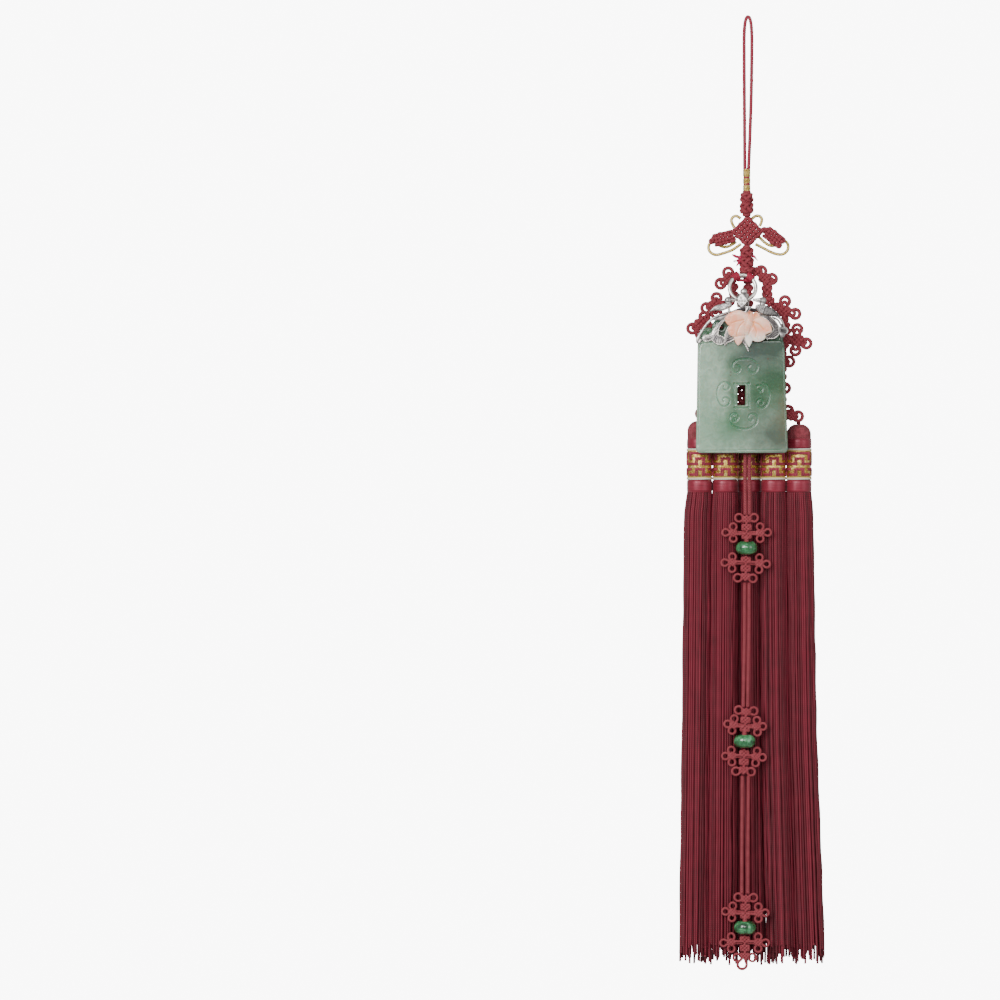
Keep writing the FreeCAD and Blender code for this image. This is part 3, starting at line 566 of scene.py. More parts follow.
UPPER_BULGES = [(-78.2, -82.9, 3.35, 4), (-82.4, -87.9, 3.45, 5)]
NECK_BULGES = [(-102.9, -107.8, 3.45, 4), (-107.3, -112.2, 3.6, 5), (-111.4, -114.9, 3.65, 5)]
for name, node, bulges in (("upper_button_knot", "upper_knot", UPPER_BULGES),
                           ("neck_button_knot", "neck_knot", NECK_BULGES)):
    parts = [round_knot(KNOT_AXIS_X, 0, top, bottom, radius, 1.7, 3, bights, start=top)
             for top, bottom, radius, bights in bulges]
    parts.append(core_cord(KNOT_AXIS_X, 0, bulges[0][0] + 0.4, bulges[-1][1] - 0.6, 1.9))
    knot = piece(name, parts, knot_silk)
    dress(knot, "knotwork", "silk_cord", node)

# Frayed silk beside the neck knot: loose bright pink threads that stand out of the lashed ends.

fray_silk = silk("fray_silk", (0.22, 0.004, 0.030), (0.42, 0.012, 0.060), (0.62, 0.05, 0.13), braided=False)
fray_dice = random.Random(7)
FRAY_TUFTS = [
    # x and z of the root, x and z of the tip, bow, threads
    (-2.4, -106.6, -6.9, -105.6, -1.2, 20),
    (-2.8, -107.3, -6.4, -108.6, -0.8, 24),
    (-2.8, -108.0, -5.0, -111.6, 0.5, 14),
    (-2.6, -107.6, -4.9, -109.8, -0.5, 9),
    (1.9, -106.8, 4.3, -109.0, 0.5, 12),
]
fray_lines = []
for root_x, root_z, tip_x, tip_z, bow, count in FRAY_TUFTS:
    for k in range(count):
        spread_x, spread_z = fray_dice.uniform(-0.45, 0.45), fray_dice.uniform(-0.55, 0.55)
        stretch = fray_dice.uniform(0.5, 1.1)
        curve = bow * fray_dice.uniform(0.5, 1.4)
        depth = fray_dice.uniform(-1.4, 0.3)
        line = []
        for share in np.linspace(0, 1, 8):
            reach = share * stretch
            gather = 1 - 0.55 * share
            sag = curve * math.sin(math.pi * share * 0.8)
            line.append((root_x + (tip_x - root_x) * reach + spread_x * gather,
                         depth * share - 0.8 + spread_x * 0.5,
                         root_z + (tip_z - root_z) * reach + spread_z * gather + sag))
        fray_lines.append(line)
fray = laid("frayed_silk", fray_lines, 0.16, fray_silk, sides=5, plies=0, ply_depth=0, turns=0, step=0.5)
dress(fray, "knotwork", "silk_cord")

# Diamond knot: one cord woven into a pad of six runs each way and turned on its corner.
# Every run goes over and under its neighbours and comes back in a small loop at the rim.


def weave(x, y, z, tilt, along, across, pitch, cord, loops=True, squash=0.5):
    """A woven pad. along and across give the half length of each run one way and the other."""
    parts = []
    for way, runs, others in ((0, along, across), (1, across, along)):
        line = []
        for i, reach in enumerate(runs):
            q = (i - (len(runs) - 1) / 2) * pitch
            side = 1 if i % 2 == 0 else -1
            spots = np.linspace(-reach, reach, max(int(reach * 5), 8)) * side
            wave = np.cos(math.pi * (spots / pitch + (len(others) - 1) / 2 + i + way))
            run = [(p, q, squash * cord * w) for p, w in zip(spots, wave)]
            if loops:
                line.extend(run)
                if i < len(runs) - 1:
                    turn_x = side * (reach + runs[i + 1]) / 2
                    for a in np.linspace(-60, 60, 5):
                        bend = math.radians(a)
                        line.append((turn_x + side * pitch / 2 * math.cos(bend), q + pitch / 2 * (1 + math.sin(bend)),
                                     0.0))
            else:
                parts.append((way, np.array(run)))
        if loops:
            parts.append((way, np.array(line)))
    made = []
    for way, line in parts:
        p, q, w = line.T
        if way:
            p, q = q, p
        c, s = math.cos(math.radians(tilt)), math.sin(math.radians(tilt))
        placed = np.column_stack([x + p * c - q * s, y - w, z + p * s + q * c])
        made.append(tube(even(placed, FINE_RELIEF), cord / 2, 8))
    return made


diamond = piece("diamond_knot", weave(-0.2, 0, -95.85, 45, [3.9] * 6, [3.9] * 6, 1.8, 1.74), knot_silk)
dress(diamond, "knotwork", "silk_cord", "centre_knot")

# Leaf knots at both sides of the diamond: narrow woven pads whose rim loops make a bumpy edge.

LEAF_KNOTS = [
    ("leaf_knot_left", "side_knot_left", -11.4, -98.9, 14.0),
    ("leaf_knot_right", "side_knot_right", 11.3, -98.2, -38.0),
]
LEAF_LONG = [3.8, 5.1, 5.1, 3.8]
LEAF_CROSS = [0.5, 1.3, 1.8, 1.9, 1.8, 1.3, 0.5]
for name, node, x, z, lean in LEAF_KNOTS:
    pad = weave(x, 0, z, lean, LEAF_LONG, LEAF_CROSS, 1.5, 1.5, squash=0.4)
    leaf = piece(name, pad, knot_silk)
    dress(leaf, "knotwork", "silk_cord", node)

# Gold-wound cords: small ears above the leaf knots and long wings below, tucked behind the pads.

GOLD_Y = 2.7
GOLD_CORD = 1.5
GOLD_ROUTES = {
    "gold_ear_left": [(-3.2, -89.9), (-4.7, -88.4), (-6.8, -89.0), (-7.75, -91.2), (-6.0, -93.9)],
    "gold_ear_right": [(1.6, -90.2), (3.2, -88.5), (5.6, -88.6), (6.75, -90.6), (5.4, -93.2)],
    "gold_wing_left": [
        (-3.0, -101.2), (-6.2, -103.8), (-10.4, -105.3), (-14.6, -106.5), (-17.6, -104.6),
        (-17.7, -101.3), (-15.2, -99.9), (-12.6, -102.3), (-8.6, -102.9), (-5.2, -100.2),
    ],
    "gold_wing_right": [
        (3.4, -101.3), (7.2, -103.2), (11.6, -105.6), (15.8, -106.3), (18.5, -103.8),
        (17.9, -100.2), (14.6, -99.4), (12.4, -102.4), (8.2, -101.6), (4.9, -97.8),
    ],
}
for node, pairs in GOLD_ROUTES.items():
    line = even(nurbs_line([(x, GOLD_Y, z) for x, z in pairs]), 0.3)
    cord = laid(node + "_cord", [line], GOLD_CORD / 2 - 0.05, wound_gold, sides=12, plies=0, ply_depth=0, turns=0,
                step=0.3)
    dress(cord, "knotwork", "gold_thread", node)

# Knot chains: one crimson cord tied into a run of small woven pads with looped ears at the sides.
# They hang behind the ring and the plaque, and an open panel of the same cord joins them there.

KNOT_CORD = 1.7
CHAIN_SPACING = 0.36


def pad(x, y, z, radius, cord=KNOT_CORD):
    """A tight crossing of two or three runs each way, turned on its corner."""
    runs = 2 if radius < 2.45 else 3
    pitch = (2 * radius - cord) / max(runs - 0.2, 1)
    reach = radius - cord * 0.62
    return weave(x, y, z, 45, [reach] * runs, [reach] * runs, pitch, cord, squash=0.45)


def ear_loop(x, y, z, core, ring=2.05, cord=KNOT_CORD, inner_share=0.45):
    """An ear: an outer loop that leaves its pad and comes back, round a small inner one."""
    away = math.atan2(z - core[1], x - core[0])
    out = np.array([math.cos(away), 0, math.sin(away)])
    across = np.array([-math.sin(away), 0, math.cos(away)])
    middle = np.array([x, y, z])
    mouth = min(math.dist((x, z), core[:2]), ring * 2.2)
    line = [middle - out * mouth + across * cord * 0.5 - [0, 0.3, 0]]
    for bend in np.radians(np.linspace(140, -140, 22)):
        line.append(middle + ring * (out * math.cos(bend) + across * math.sin(bend)))
    line.append(middle - out * mouth - across * cord * 0.5 + [0, 0.3, 0])
    parts = [tube(even(line, CHAIN_SPACING), cord / 2, 8)]
    if not inner_share:
        return parts
    inner = middle - out * ring * 0.55
    small = [inner + inner_share * ring * (out * math.cos(bend) + across * math.sin(bend))
             for bend in np.radians(np.linspace(100, -100, 9))]
    parts.append(tube(even(small, CHAIN_SPACING), cord / 2 * 0.95, 8))
    return parts


def lower_pads(x, top, bottom, steps, radius):
    drop = (top - bottom) / (steps - 1)
    return [(x, top - drop * i, radius) for i in range(steps)]


KNOT_CHAINS = {
    # depth; pads x, z, radius; ears x, z; joining cords x, z, x, z, radius
    "knot_chain_left_upper": (
        1.0,
        [(-8.2, -117.0, 2.8), (-6.4, -121.3, 2.2), (-6.3, -124.9, 2.2), (-8.0, -128.0, 2.2),
         (-11.4, -129.0, 2.2), (-15.0, -129.2, 2.9), (-20.9, -137.3, 3.0), (-17.9, -138.6, 2.2)],
        [(-8.9, -114.2), (-12.3, -119.2), (-14.1, -125.7), (-18.7, -130.2), (-14.2, -132.6),
         (-19.6, -134.2), (-25.0, -139.4), (-21.2, -141.8)],
        [(-7.4, -115.8, -4.8, -114.3, 0.85), (-16.6, -131.2, -19.2, -134.2, 0.85)],
    ),
    "knot_chain_right_upper": (
        1.0,
        [(3.3, -113.9, 2.2), (7.6, -116.6, 2.7), (8.9, -119.6, 2.4), (8.6, -122.2, 2.4),
         (8.7, -124.9, 2.4), (9.6, -127.6, 2.4), (12.5, -129.8, 2.2), (16.2, -131.8, 3.0),
         (16.6, -135.8, 1.9), (17.2, -138.4, 2.0), (17.5, -141.2, 2.1), (21.9, -144.6, 3.0), (17.0, -144.2, 2.6),
         (16.9, -147.3, 1.9)],
        [(16.7, -127.1), (21.3, -132.8), (22.2, -139.7), (26.3, -146.1), (21.4, -149.2)],
        [(16.6, -133.0, 16.6, -136.0, 0.9), (16.9, -145.0, 16.5, -149.8, 0.85)],
    ),
    "knot_chain_left_lower": (
        2.6,
        lower_pads(-17.6, -147.2, -172.0, 8, 2.1) + [(-20.2, -176.0, 2.3)],
        [(-21.0, -177.7), (-19.9, -153.0), (-19.9, -166.0)],
        [(-17.8, -172.0, -19.8, -175.6, 1.1), (-17.6, -147.2, -17.7, -142.3, 1.0)],
    ),
    "knot_chain_right_lower": (
        2.6,
        lower_pads(15.6, -151.4, -175.4, 8, 2.1) + [(19.4, -178.6, 2.5)],
        [(18.7, -154.2), (16.8, -166.2), (18.2, -176.4), (22.6, -178.9)],
        [(15.6, -175.4, 19.0, -178.0, 0.9), (15.6, -151.6, 16.5, -148.6, 0.85)],
    ),
    "centre_chain": (
        2.6,
        lower_pads(0.2, -118.4, -149.6, 10, 2.3),
        [],
        [(0.2, -116.6, 0.2, -149.6, 0.9)],
    ),
}
FULL_EARS = {"knot_chain_right_upper": [(6.0, -113.6), (10.8, -117.1)]}
# one run bows in behind the plaque and comes back out to the lower pads
HIDDEN_BOW = [
    (-17.9, 1.0, -138.6), (-13.5, 1.0, -139.0), (-8.6, 1.0, -139.0), (-8.6, 1.6, -142.4),
    (-14.0, 2.4, -142.4), (-17.65, 2.6, -142.6), (-17.65, 2.6, -144.4),
]
for node, (y, pads, ears, links) in KNOT_CHAINS.items():
    parts = []
    for x, z, radius in pads:
        parts += pad(x, y, z, radius)
    for number, (x, z) in enumerate(ears):
        core = min(pads, key=lambda spot: math.dist((x, z), spot[:2]))
        parts += ear_loop(x, y, z, core, inner_share=0.40 + 0.05 * (number % 3))
    for x, z in FULL_EARS.get(node, ()):
        parts += ear_loop(x, y, z, min(pads, key=lambda spot: math.dist((x, z), spot[:2])), inner_share=0.62)
    for a, b, c, d, radius in links:
        parts.append(tube(even([(a, y, b), (c, y, d)], CHAIN_SPACING), radius, 8))
    if node == "knot_chain_left_upper":
        parts.append(tube(even(nurbs_line(HIDDEN_BOW), CHAIN_SPACING), KNOT_CORD / 2, 8))
    chain = piece(node + "_cord", parts, knot_silk)
    dress(chain, "knotwork", "silk_cord", node)

panel = piece("panel_cord", weave(-0.8, 3.4, -165.4, 45, [8.75] * 8, [8.75] * 8, 2.5, 2.25, squash=0.36), knot_silk)
dress(panel, "knotwork", "silk_cord", "back_panel")
drop_head = piece("drop_head_cord", pad(-0.4, 0, -180.4, 2.6, 1.5) + pad(-0.4, 0, -177.2, 2.2, 1.5), knot_silk)
dress(drop_head, "knotwork", "silk_cord", "drop_knot")

# Drop cord: two braided crimson strands side by side, down the front between the three beads.
# Their braid shows as a row of V shapes.

DROP_CORD = 1.8
DROP_Y = -3.6
DROP_RUNS = {
    # control points of the left strand; gap to the right one; length of a strand, in metres
    "drop_cord_upper": ([(-1.35, -0.4, -183.2), (-1.35, -1.9, -189.0), (-1.4, DROP_Y, -196.0),
                         (-1.5, DROP_Y, -209.5), (-1.35, DROP_Y, -223.0)], 1.9, 0.0402),
    "drop_cord_middle": ([(-1.65, DROP_Y, -254.0), (-1.6, DROP_Y, -272.0), (-1.95, DROP_Y, -291.0),
                          (-2.25, DROP_Y, -309.4)], 1.95, 0.0554),
    "drop_cord_lower": ([(-2.7, DROP_Y, -340.8), (-2.75, DROP_Y, -358.0), (-2.95, DROP_Y, -376.0),
                         (-2.95, DROP_Y, -393.3)], 2.7, 0.0525),
}
# drop_braid's first colour is painted shade for the grooves of its braid
drop_braid = silk("drop_braid", (0.022, 0.002, 0.003), (0.15, 0.012, 0.018), (0.34, 0.050, 0.066), pitch=1.15,
                  skew=1.2)
for node, (route, gap, length) in DROP_RUNS.items():
    for side, offset in (("left", 0.0), ("right", gap)):
        strand_route = [(x + offset, y, z) for x, y, z in route]
        free_cord(f"{node}_{side}_strand", strand_route, DROP_CORD, 0.25, f"{node}_{side}", drop_braid,
                  "drop_silk", 1.15)

# Flower knots above and below each bead: thin cord tied into a column with eared knots at its sides.

FLOWER_CORD = 1.05
FLOWER_RING = 1.5
# flower_silk's first colour is painted shade for the grooves of its braid
flower_silk = silk("flower_silk", (0.10, 0.010, 0.015), (0.30, 0.034, 0.046), (0.52, 0.105, 0.125), pitch=0.5,
                   columns=5, crossed=True)


def flower_knot(x, z, way, lean, reach, end_loop):
    """Points up from its bead; way -1 turns it over, lean turns it a little."""
    parts = []
    for height, radius in ((2.2, 2.2), (6.0, 2.2), (9.6, 2.0)):
        parts += weave(0, 0, height, 45, [1.3] * 3, [1.3] * 3, (2 * radius - FLOWER_CORD) / 2.9, FLOWER_CORD,
                       squash=0.6)
    for side, out in ((-1, 6.0), (1, 6.1)):
        middle = side * out * reach
        parts += weave(middle, 0, 3.4, 45, [1.1] * 3, [1.1] * 3, 1.0, FLOWER_CORD, squash=0.6)
        for shift in (-0.45, 0.45):
            parts.append(tube(even([(side * 0.8, shift, 3.4 + shift), (middle - side, shift, 3.4 + shift)], 0.3),
                              FLOWER_CORD / 2, 8))
        core = (middle, 3.4)
        for ear_x, ear_z in ((middle, 6.3), (middle + side * 3.4 * reach, 3.7),
                             (middle + side * (1 - reach) * 4, 0.9)):
            parts += ear_loop(ear_x, 0, ear_z, core, FLOWER_RING, FLOWER_CORD, 0)
        parts += ear_loop(side * 3.4, 0, 10.3, (side * 0.6, 9.6), 1.7, FLOWER_CORD, 0)
    if end_loop:
        parts += ear_loop(1.2, 0, 13.4, (0.4, 10.6), 2.05, 1.3, 0)
    if way > 0:
        parts.append(tube(even([(0, 0, 2.0), (0, 0, -4.7)], 0.4), FLOWER_CORD, 8))
    turn = math.radians(lean + (180 if way < 0 else 0))
    placed = []
    for part in parts:
        points = part[0].copy()
        points[:, 0], points[:, 2] = (part[0][:, 0] * math.cos(turn) + part[0][:, 2] * math.sin(turn) + x,
                                      part[0][:, 2] * math.cos(turn) - part[0][:, 0] * math.sin(turn) + z)
        points[:, 1] += DROP_Y
        placed.append((points, *part[1:]))
    return placed


FLOWER_KNOTS = {
    # x, z, way, lean in degrees, sideways reach, end loop
    "flower_knot_1_upper": (-0.8, -234.9, 1, 0.0, 1.0, False),
    "flower_knot_1_lower": (-1.0, -241.4, -1, 2.0, 1.0, False),
    "flower_knot_2_upper": (-1.7, -321.5, 1, 4.0, 0.84, False),
    "flower_knot_2_lower": (-1.8, -328.3, -1, 2.0, 0.88, False),
    "flower_knot_3_upper": (-1.5, -405.5, 1, 2.0, 0.95, False),
    "flower_knot_3_lower": (-1.6, -411.9, -1, 0.0, 1.0, True),
}
for node, row in FLOWER_KNOTS.items():
    flower = piece(node + "_cord", flower_knot(*row), flower_silk)
    dress(flower, "knotwork", "drop_silk", node)

# Green beads: flattened glass-like stone, turned and drilled, deep green with paler clouds.


def stone(name, dark, main, pale, scale, rough, seed, subsurface=0.15):
    """Polished stone: clouds and veins of three shades, by place in the piece."""
    material, tree = plain_material(name)
    place = add(tree, "TexCoord").node.outputs["Object"]
    shift = add(tree, "VectorMath", {0: place, 1: (seed, seed * 0.7, seed * 0.3)}, operation="ADD")
    cloud = add(tree, "TexNoise", {"Vector": shift, "Scale": scale, "Detail": 6.0, "Distortion": 1.2})
    fleck = add(tree, "TexNoise", {"Vector": shift, "Scale": scale * 9, "Detail": 3.0})
    share = calc(tree, "MULTIPLY_ADD", fleck, 0.25, cloud)
    colour = colour_ramp(tree, share, [(0.50, dark), (0.62, main), (0.78, pale)])
    finish(tree, colour, fleck, depth=0.00002, Roughness=rough, Subsurface_Weight=subsurface,
           Subsurface_Scale=0.002, Coat_Weight=0.5, Coat_Roughness=0.08)
    return material


BEAD_HOLE = 1.35
BEAD_HALF = 2.6
BEAD_COLUMNS = 48
BEADS = {"bead_1": (-0.9, -238.15), "bead_2": (-1.7, -324.95), "bead_3": (-1.55, -408.7)}
bead_stone = stone("bead_stone", (0.008, 0.050, 0.018), (0.020, 0.13, 0.042), (0.09, 0.33, 0.15), 160.0, 0.16, 3.0)
for node, (x, z) in BEADS.items():
    profile = [(BEAD_HOLE, BEAD_HALF)]
    for bend in np.radians(np.linspace(72, -72, 19)):
        profile.append((1.9 + 3.0 * math.cos(bend), 3.05 * math.sin(bend)))
    profile.append((BEAD_HOLE, -BEAD_HALF))
    spin = bmesh.new()
    rings = []
    for r, h in profile:
        rings.append([spin.verts.new(((x + r * math.cos(a)) * MM, (DROP_Y + r * math.sin(a)) * MM, (z + h) * MM))
                      for a in np.linspace(0, 2 * math.pi, BEAD_COLUMNS, endpoint=False)])
    for i in range(len(rings)):
        upper, lower = rings[i], rings[(i + 1) % len(rings)]
        for j in range(BEAD_COLUMNS):
            k = (j + 1) % BEAD_COLUMNS
            spin.faces.new((upper[j], lower[j], lower[k], upper[k])).smooth = True
    bmesh.ops.recalc_face_normals(spin, faces=spin.faces)
    bead_mesh = bpy.data.meshes.new(node + "_turned")
    spin.to_mesh(bead_mesh)
    spin.free()
    bead_mesh.set_sharp_from_angle(angle=math.radians(50))
    bead_mesh.materials.append(bead_stone)
    bead = bpy.data.objects.new(node + "_turned", bead_mesh)
    bpy.context.scene.collection.objects.link(bead)
    dress(bead, "knotwork", "green_bead", node)

# Tassels: a head stitched over in crimson silk, a satin neck wound with thread, and a long skirt.
# The skirt is a bundle of two-ply silk threads, cut uneven at the foot, some ends curled.

SKIRT_LEVELS = [-213.0, -215.5, -221.0, -320.0, -418.0]
SKIRT_RADII = [5.35, 5.65, 5.85, 6.05, 6.3]
TASSELS = [
    # x, y, dome top, top of its hanging cord, skirt x at the three lower levels, skirt y below
    (-21.62, 4.6, -180.9, (-21.6, 4.7, -179.4), (-22.5, -23.3, -24.3), 4.6),
    (-10.1, 4.6, -181.2, (-7.5, 3.9, -174.0), (-10.4, -11.0, -11.5), 4.6),
    (1.0, 10.2, -181.6, (0.0, 6.1, -176.8), (1.0, 1.2, 1.9), 7.6),
    (11.7, 4.6, -181.8, (6.1, 3.9, -173.4), (11.6, 12.6, 15.3), 4.6),
    (23.1, 4.6, -182.4, (22.9, 4.7, -181.0), (23.5, 24.9, 28.2), 4.6),
]
SKIRT_RINGS = [(37, 0.45), (31, 1.25), (20, 2.3)]
THREAD_RADIUS = 0.5
SKIRT_SPREAD = 1.07


def threads_silk(name, deep, main, bright, lay):
    """Two-ply silk thread: the twist shows as slanting ridges, with painted shade where the threads meet."""
    material, tree = plain_material(name)
    share, run = turn_share(tree)
    phase = calc(tree, "ADD", calc(tree, "MULTIPLY", share, 2.0), calc(tree, "DIVIDE", run, lay * MM))
    wave = ridges(tree, phase)
    wave = calc(tree, "POWER", wave, 0.6)
    place = add(tree, "TexCoord").node.outputs["Object"]
    cloud = add(tree, "TexNoise", {"Vector": place, "Scale": 160.0, "Detail": 4.0})
    tone = add(tree, "Attribute", attribute_name="tone").node.outputs["Fac"]
    both = calc(tree, "MULTIPLY_ADD", cloud, 0.5, calc(tree, "MULTIPLY", tone, 0.6))
    colour = colour_ramp(tree, both, [(0.25, main), (0.85, bright)])
    # painted shade: where the plies meet, the colour is mixed towards the deep colour
    colour = blend_colours(tree, wave, (*deep, 1), colour)
    finish(tree, colour, wave, depth=0.00012, Roughness=0.5, Sheen_Weight=0.1, Sheen_Roughness=0.4,
           Sheen_Tint=(*bright, 1), Specular_IOR_Level=0.3)
    return material


# skirt_silk's first colour is painted shade where its plies meet
skirt_silk = threads_silk("skirt_silk", (0.028, 0.002, 0.005), (0.085, 0.004, 0.010), (0.22, 0.015, 0.032), 0.95)


def lathe(x, y, profile, columns, relief=None):
    """A turned skin round an upright axis, open ended; relief gives more reach by turn and row."""
    turn = np.arange(columns) / columns
    profile = np.array(profile, float)
    reach = np.repeat(profile[:, :1], columns, axis=1)
    if relief is not None:
        reach = reach + relief(turn[None, :], profile[:, 1:2], profile[:, :1])
    angle = 2 * math.pi * turn
    heights = np.repeat(profile[:, 1:2], columns, axis=1)
    points = np.stack([x + reach * np.cos(angle), y + reach * np.sin(angle), heights], -1).reshape(-1, 3)
    rows = len(profile)
    i, j = np.meshgrid(np.arange(rows - 1), np.arange(columns), indexing="ij")
    i, j = i.ravel(), j.ravel()
    m = (j + 1) % columns
    faces = np.column_stack([i * columns + j, (i + 1) * columns + j, (i + 1) * columns + m, i * columns + m])
    run = np.concatenate([[0], np.cumsum(np.linalg.norm(np.diff(profile, axis=0), axis=1))])
    u0, u1, v0, v1 = j / columns, (j + 1) / columns, run[i], run[i + 1]
    corner_map = np.stack([np.stack([u0, v0], 1), np.stack([u0, v1], 1), np.stack([u1, v1], 1),
                           np.stack([u1, v0], 1)], 1)
    caps = []
    middles = [(x, y, profile[0, 1]), (x, y, profile[-1, 1])]
    for j in range(0, columns, 2):
        a, b, c = j, j + 1, (j + 2) % columns
        last = (rows - 1) * columns
        caps.append((rows * columns, a, b, c))
        caps.append((rows * columns + 1, last + c, last + b, last + a))
    faces = np.vstack([faces, caps])
    corner_map = np.concatenate([corner_map, np.zeros((len(caps), 4, 2))])
    points = np.vstack([points, middles])
    return points, faces, corner_map, np.full(len(points), 0.5)


DOME_RADIUS = 5.55
DOME_CROWN = 4.6
DOME_FOOT = -189.0
STITCH_COLUMNS = 26
STITCH_ROW = 0.95


def stitches(turn, height, radius):
    """Rows of V stitches up the head; they fade out where they draw together at its crown."""
    across = np.abs(2 * ((turn * STITCH_COLUMNS) % 1) - 1)
    wave = np.abs(np.sin(math.pi * (-height / STITCH_ROW + 0.9 * across))) ** 0.7
    seam = 1 - 0.7 * np.exp(-((1 - across) / 0.16) ** 2) - 0.5 * np.exp(-(across / 0.12) ** 2)
    return 0.26 * (wave * seam - 1) * np.clip(radius / 3.5, 0.1, 1)


def head_profile(top):
    rows = [(0.3, top)]
    for bend in np.radians(np.linspace(78, 0, 15)):
        rows.append((DOME_RADIUS - DOME_CROWN + DOME_CROWN * math.cos(bend),
                     top - DOME_CROWN + DOME_CROWN * math.sin(bend)))
    for height in np.linspace(top - DOME_CROWN, DOME_FOOT, 20)[1:]:
        rows.append((DOME_RADIUS, height))
    rows.append((5.2, -189.2))
    return rows


def knit_silk(name):
    """The stitched head: fine silk, with painted shade in the furrows between stitches."""
    material, tree = plain_material(name)
    place = add(tree, "UVMap", uv_map="UVMap")
    split = add(tree, "SeparateXYZ", {0: place}).node
    across = calc(tree, "ABSOLUTE", calc(tree, "MULTIPLY_ADD", calc(
        tree, "FRACT", calc(tree, "MULTIPLY", split.outputs[0], float(STITCH_COLUMNS))), 2, -1))
    phase = calc(tree, "MULTIPLY_ADD", across, 3.6, calc(tree, "DIVIDE", split.outputs[1], STITCH_ROW / 4))
    wave = ridges(tree, phase)
    spot = add(tree, "TexCoord").node.outputs["Object"]
    cloud = add(tree, "TexNoise", {"Vector": spot, "Scale": 500.0, "Detail": 4.0})
    hollow = tree.nodes.new("ShaderNodeNewGeometry").outputs["Pointiness"]
    colour = colour_ramp(tree, cloud, [(0.3, (0.15, 0.014, 0.020)), (0.75, (0.36, 0.055, 0.075))])
    # painted shade: where Pointiness is low, in the furrows, the colour is mixed to near black
    colour = blend_colours(tree, colour_ramp(tree, hollow, [(0.42, (0, 0, 0)), (0.52, (1, 1, 1))]),
                           (0.06, 0.006, 0.008, 1), colour)
    finish(tree, colour, wave, depth=0.00006, Roughness=0.5, Sheen_Weight=0.1, Specular_IOR_Level=0.3)
    return material


def wound_silk(name, deep, main, bright, pitch):
    """Thread wound round and round, nearly level."""
    material, tree = plain_material(name)
    place = add(tree, "UVMap", uv_map="UVMap")
    split = add(tree, "SeparateXYZ", {0: place}).node
    phase = calc(tree, "ADD", calc(tree, "DIVIDE", split.outputs[1], pitch),
                 calc(tree, "MULTIPLY", split.outputs[0], 5.0))
    wave = ridges(tree, phase)
    wave = calc(tree, "POWER", wave, 0.5)
    spot = add(tree, "TexCoord").node.outputs["Object"]
    stretched = add(tree, "Mapping", {"Vector": spot, "Scale": (120.0, 120.0, 2400.0)})
    cloud = add(tree, "TexNoise", {"Vector": stretched, "Scale": 1.0, "Detail": 3.0})
    colour = colour_ramp(tree, cloud, [(0.3, main), (0.7, bright)])
    # painted shade: the grooves between wound turns are mixed up to halfway towards the deep colour
    shade = calc(tree, "MULTIPLY_ADD", wave, 0.5, 0.5)
    colour = blend_colours(tree, shade, (*deep, 1), colour)
    finish(tree, colour, wave, depth=0.000012, Roughness=0.34, Sheen_Weight=0.08,
           Specular_IOR_Level=0.8, Specular_Tint=(1.0, 0.42, 0.50, 1))
    return material


head_silk = knit_silk("head_silk")
# satin_silk's first colour is painted shade for its grooves
satin_silk = wound_silk("satin_silk", (0.055, 0.003, 0.007), (0.115, 0.006, 0.013), (0.24, 0.018, 0.036), 0.26)
filler_silk = silk("filler_silk", (0.02, 0.002, 0.004), (0.06, 0.005, 0.010), (0.10, 0.010, 0.018), braided=False)
skirt_dice = random.Random(11)
UPPER_SATIN = [(5.1, -188.6), (5.7, -189.3), (5.75, -190.4), (5.75, -192.6), (5.7, -193.1), (5.3, -193.3)]
NECK_CORE = [(5.2, -193.0), (5.4, -193.2), (5.4, -207.6), (5.2, -207.8)]
LOWER_SATIN = [(5.3, -207.5), (5.72, -207.9), (5.76, -209.0), (5.76, -212.2), (5.66, -212.9), (5.1, -213.3)]
FILLER_FOOT = -411.0
SHORTEST_END = -416.5
RAGGED = 9.5

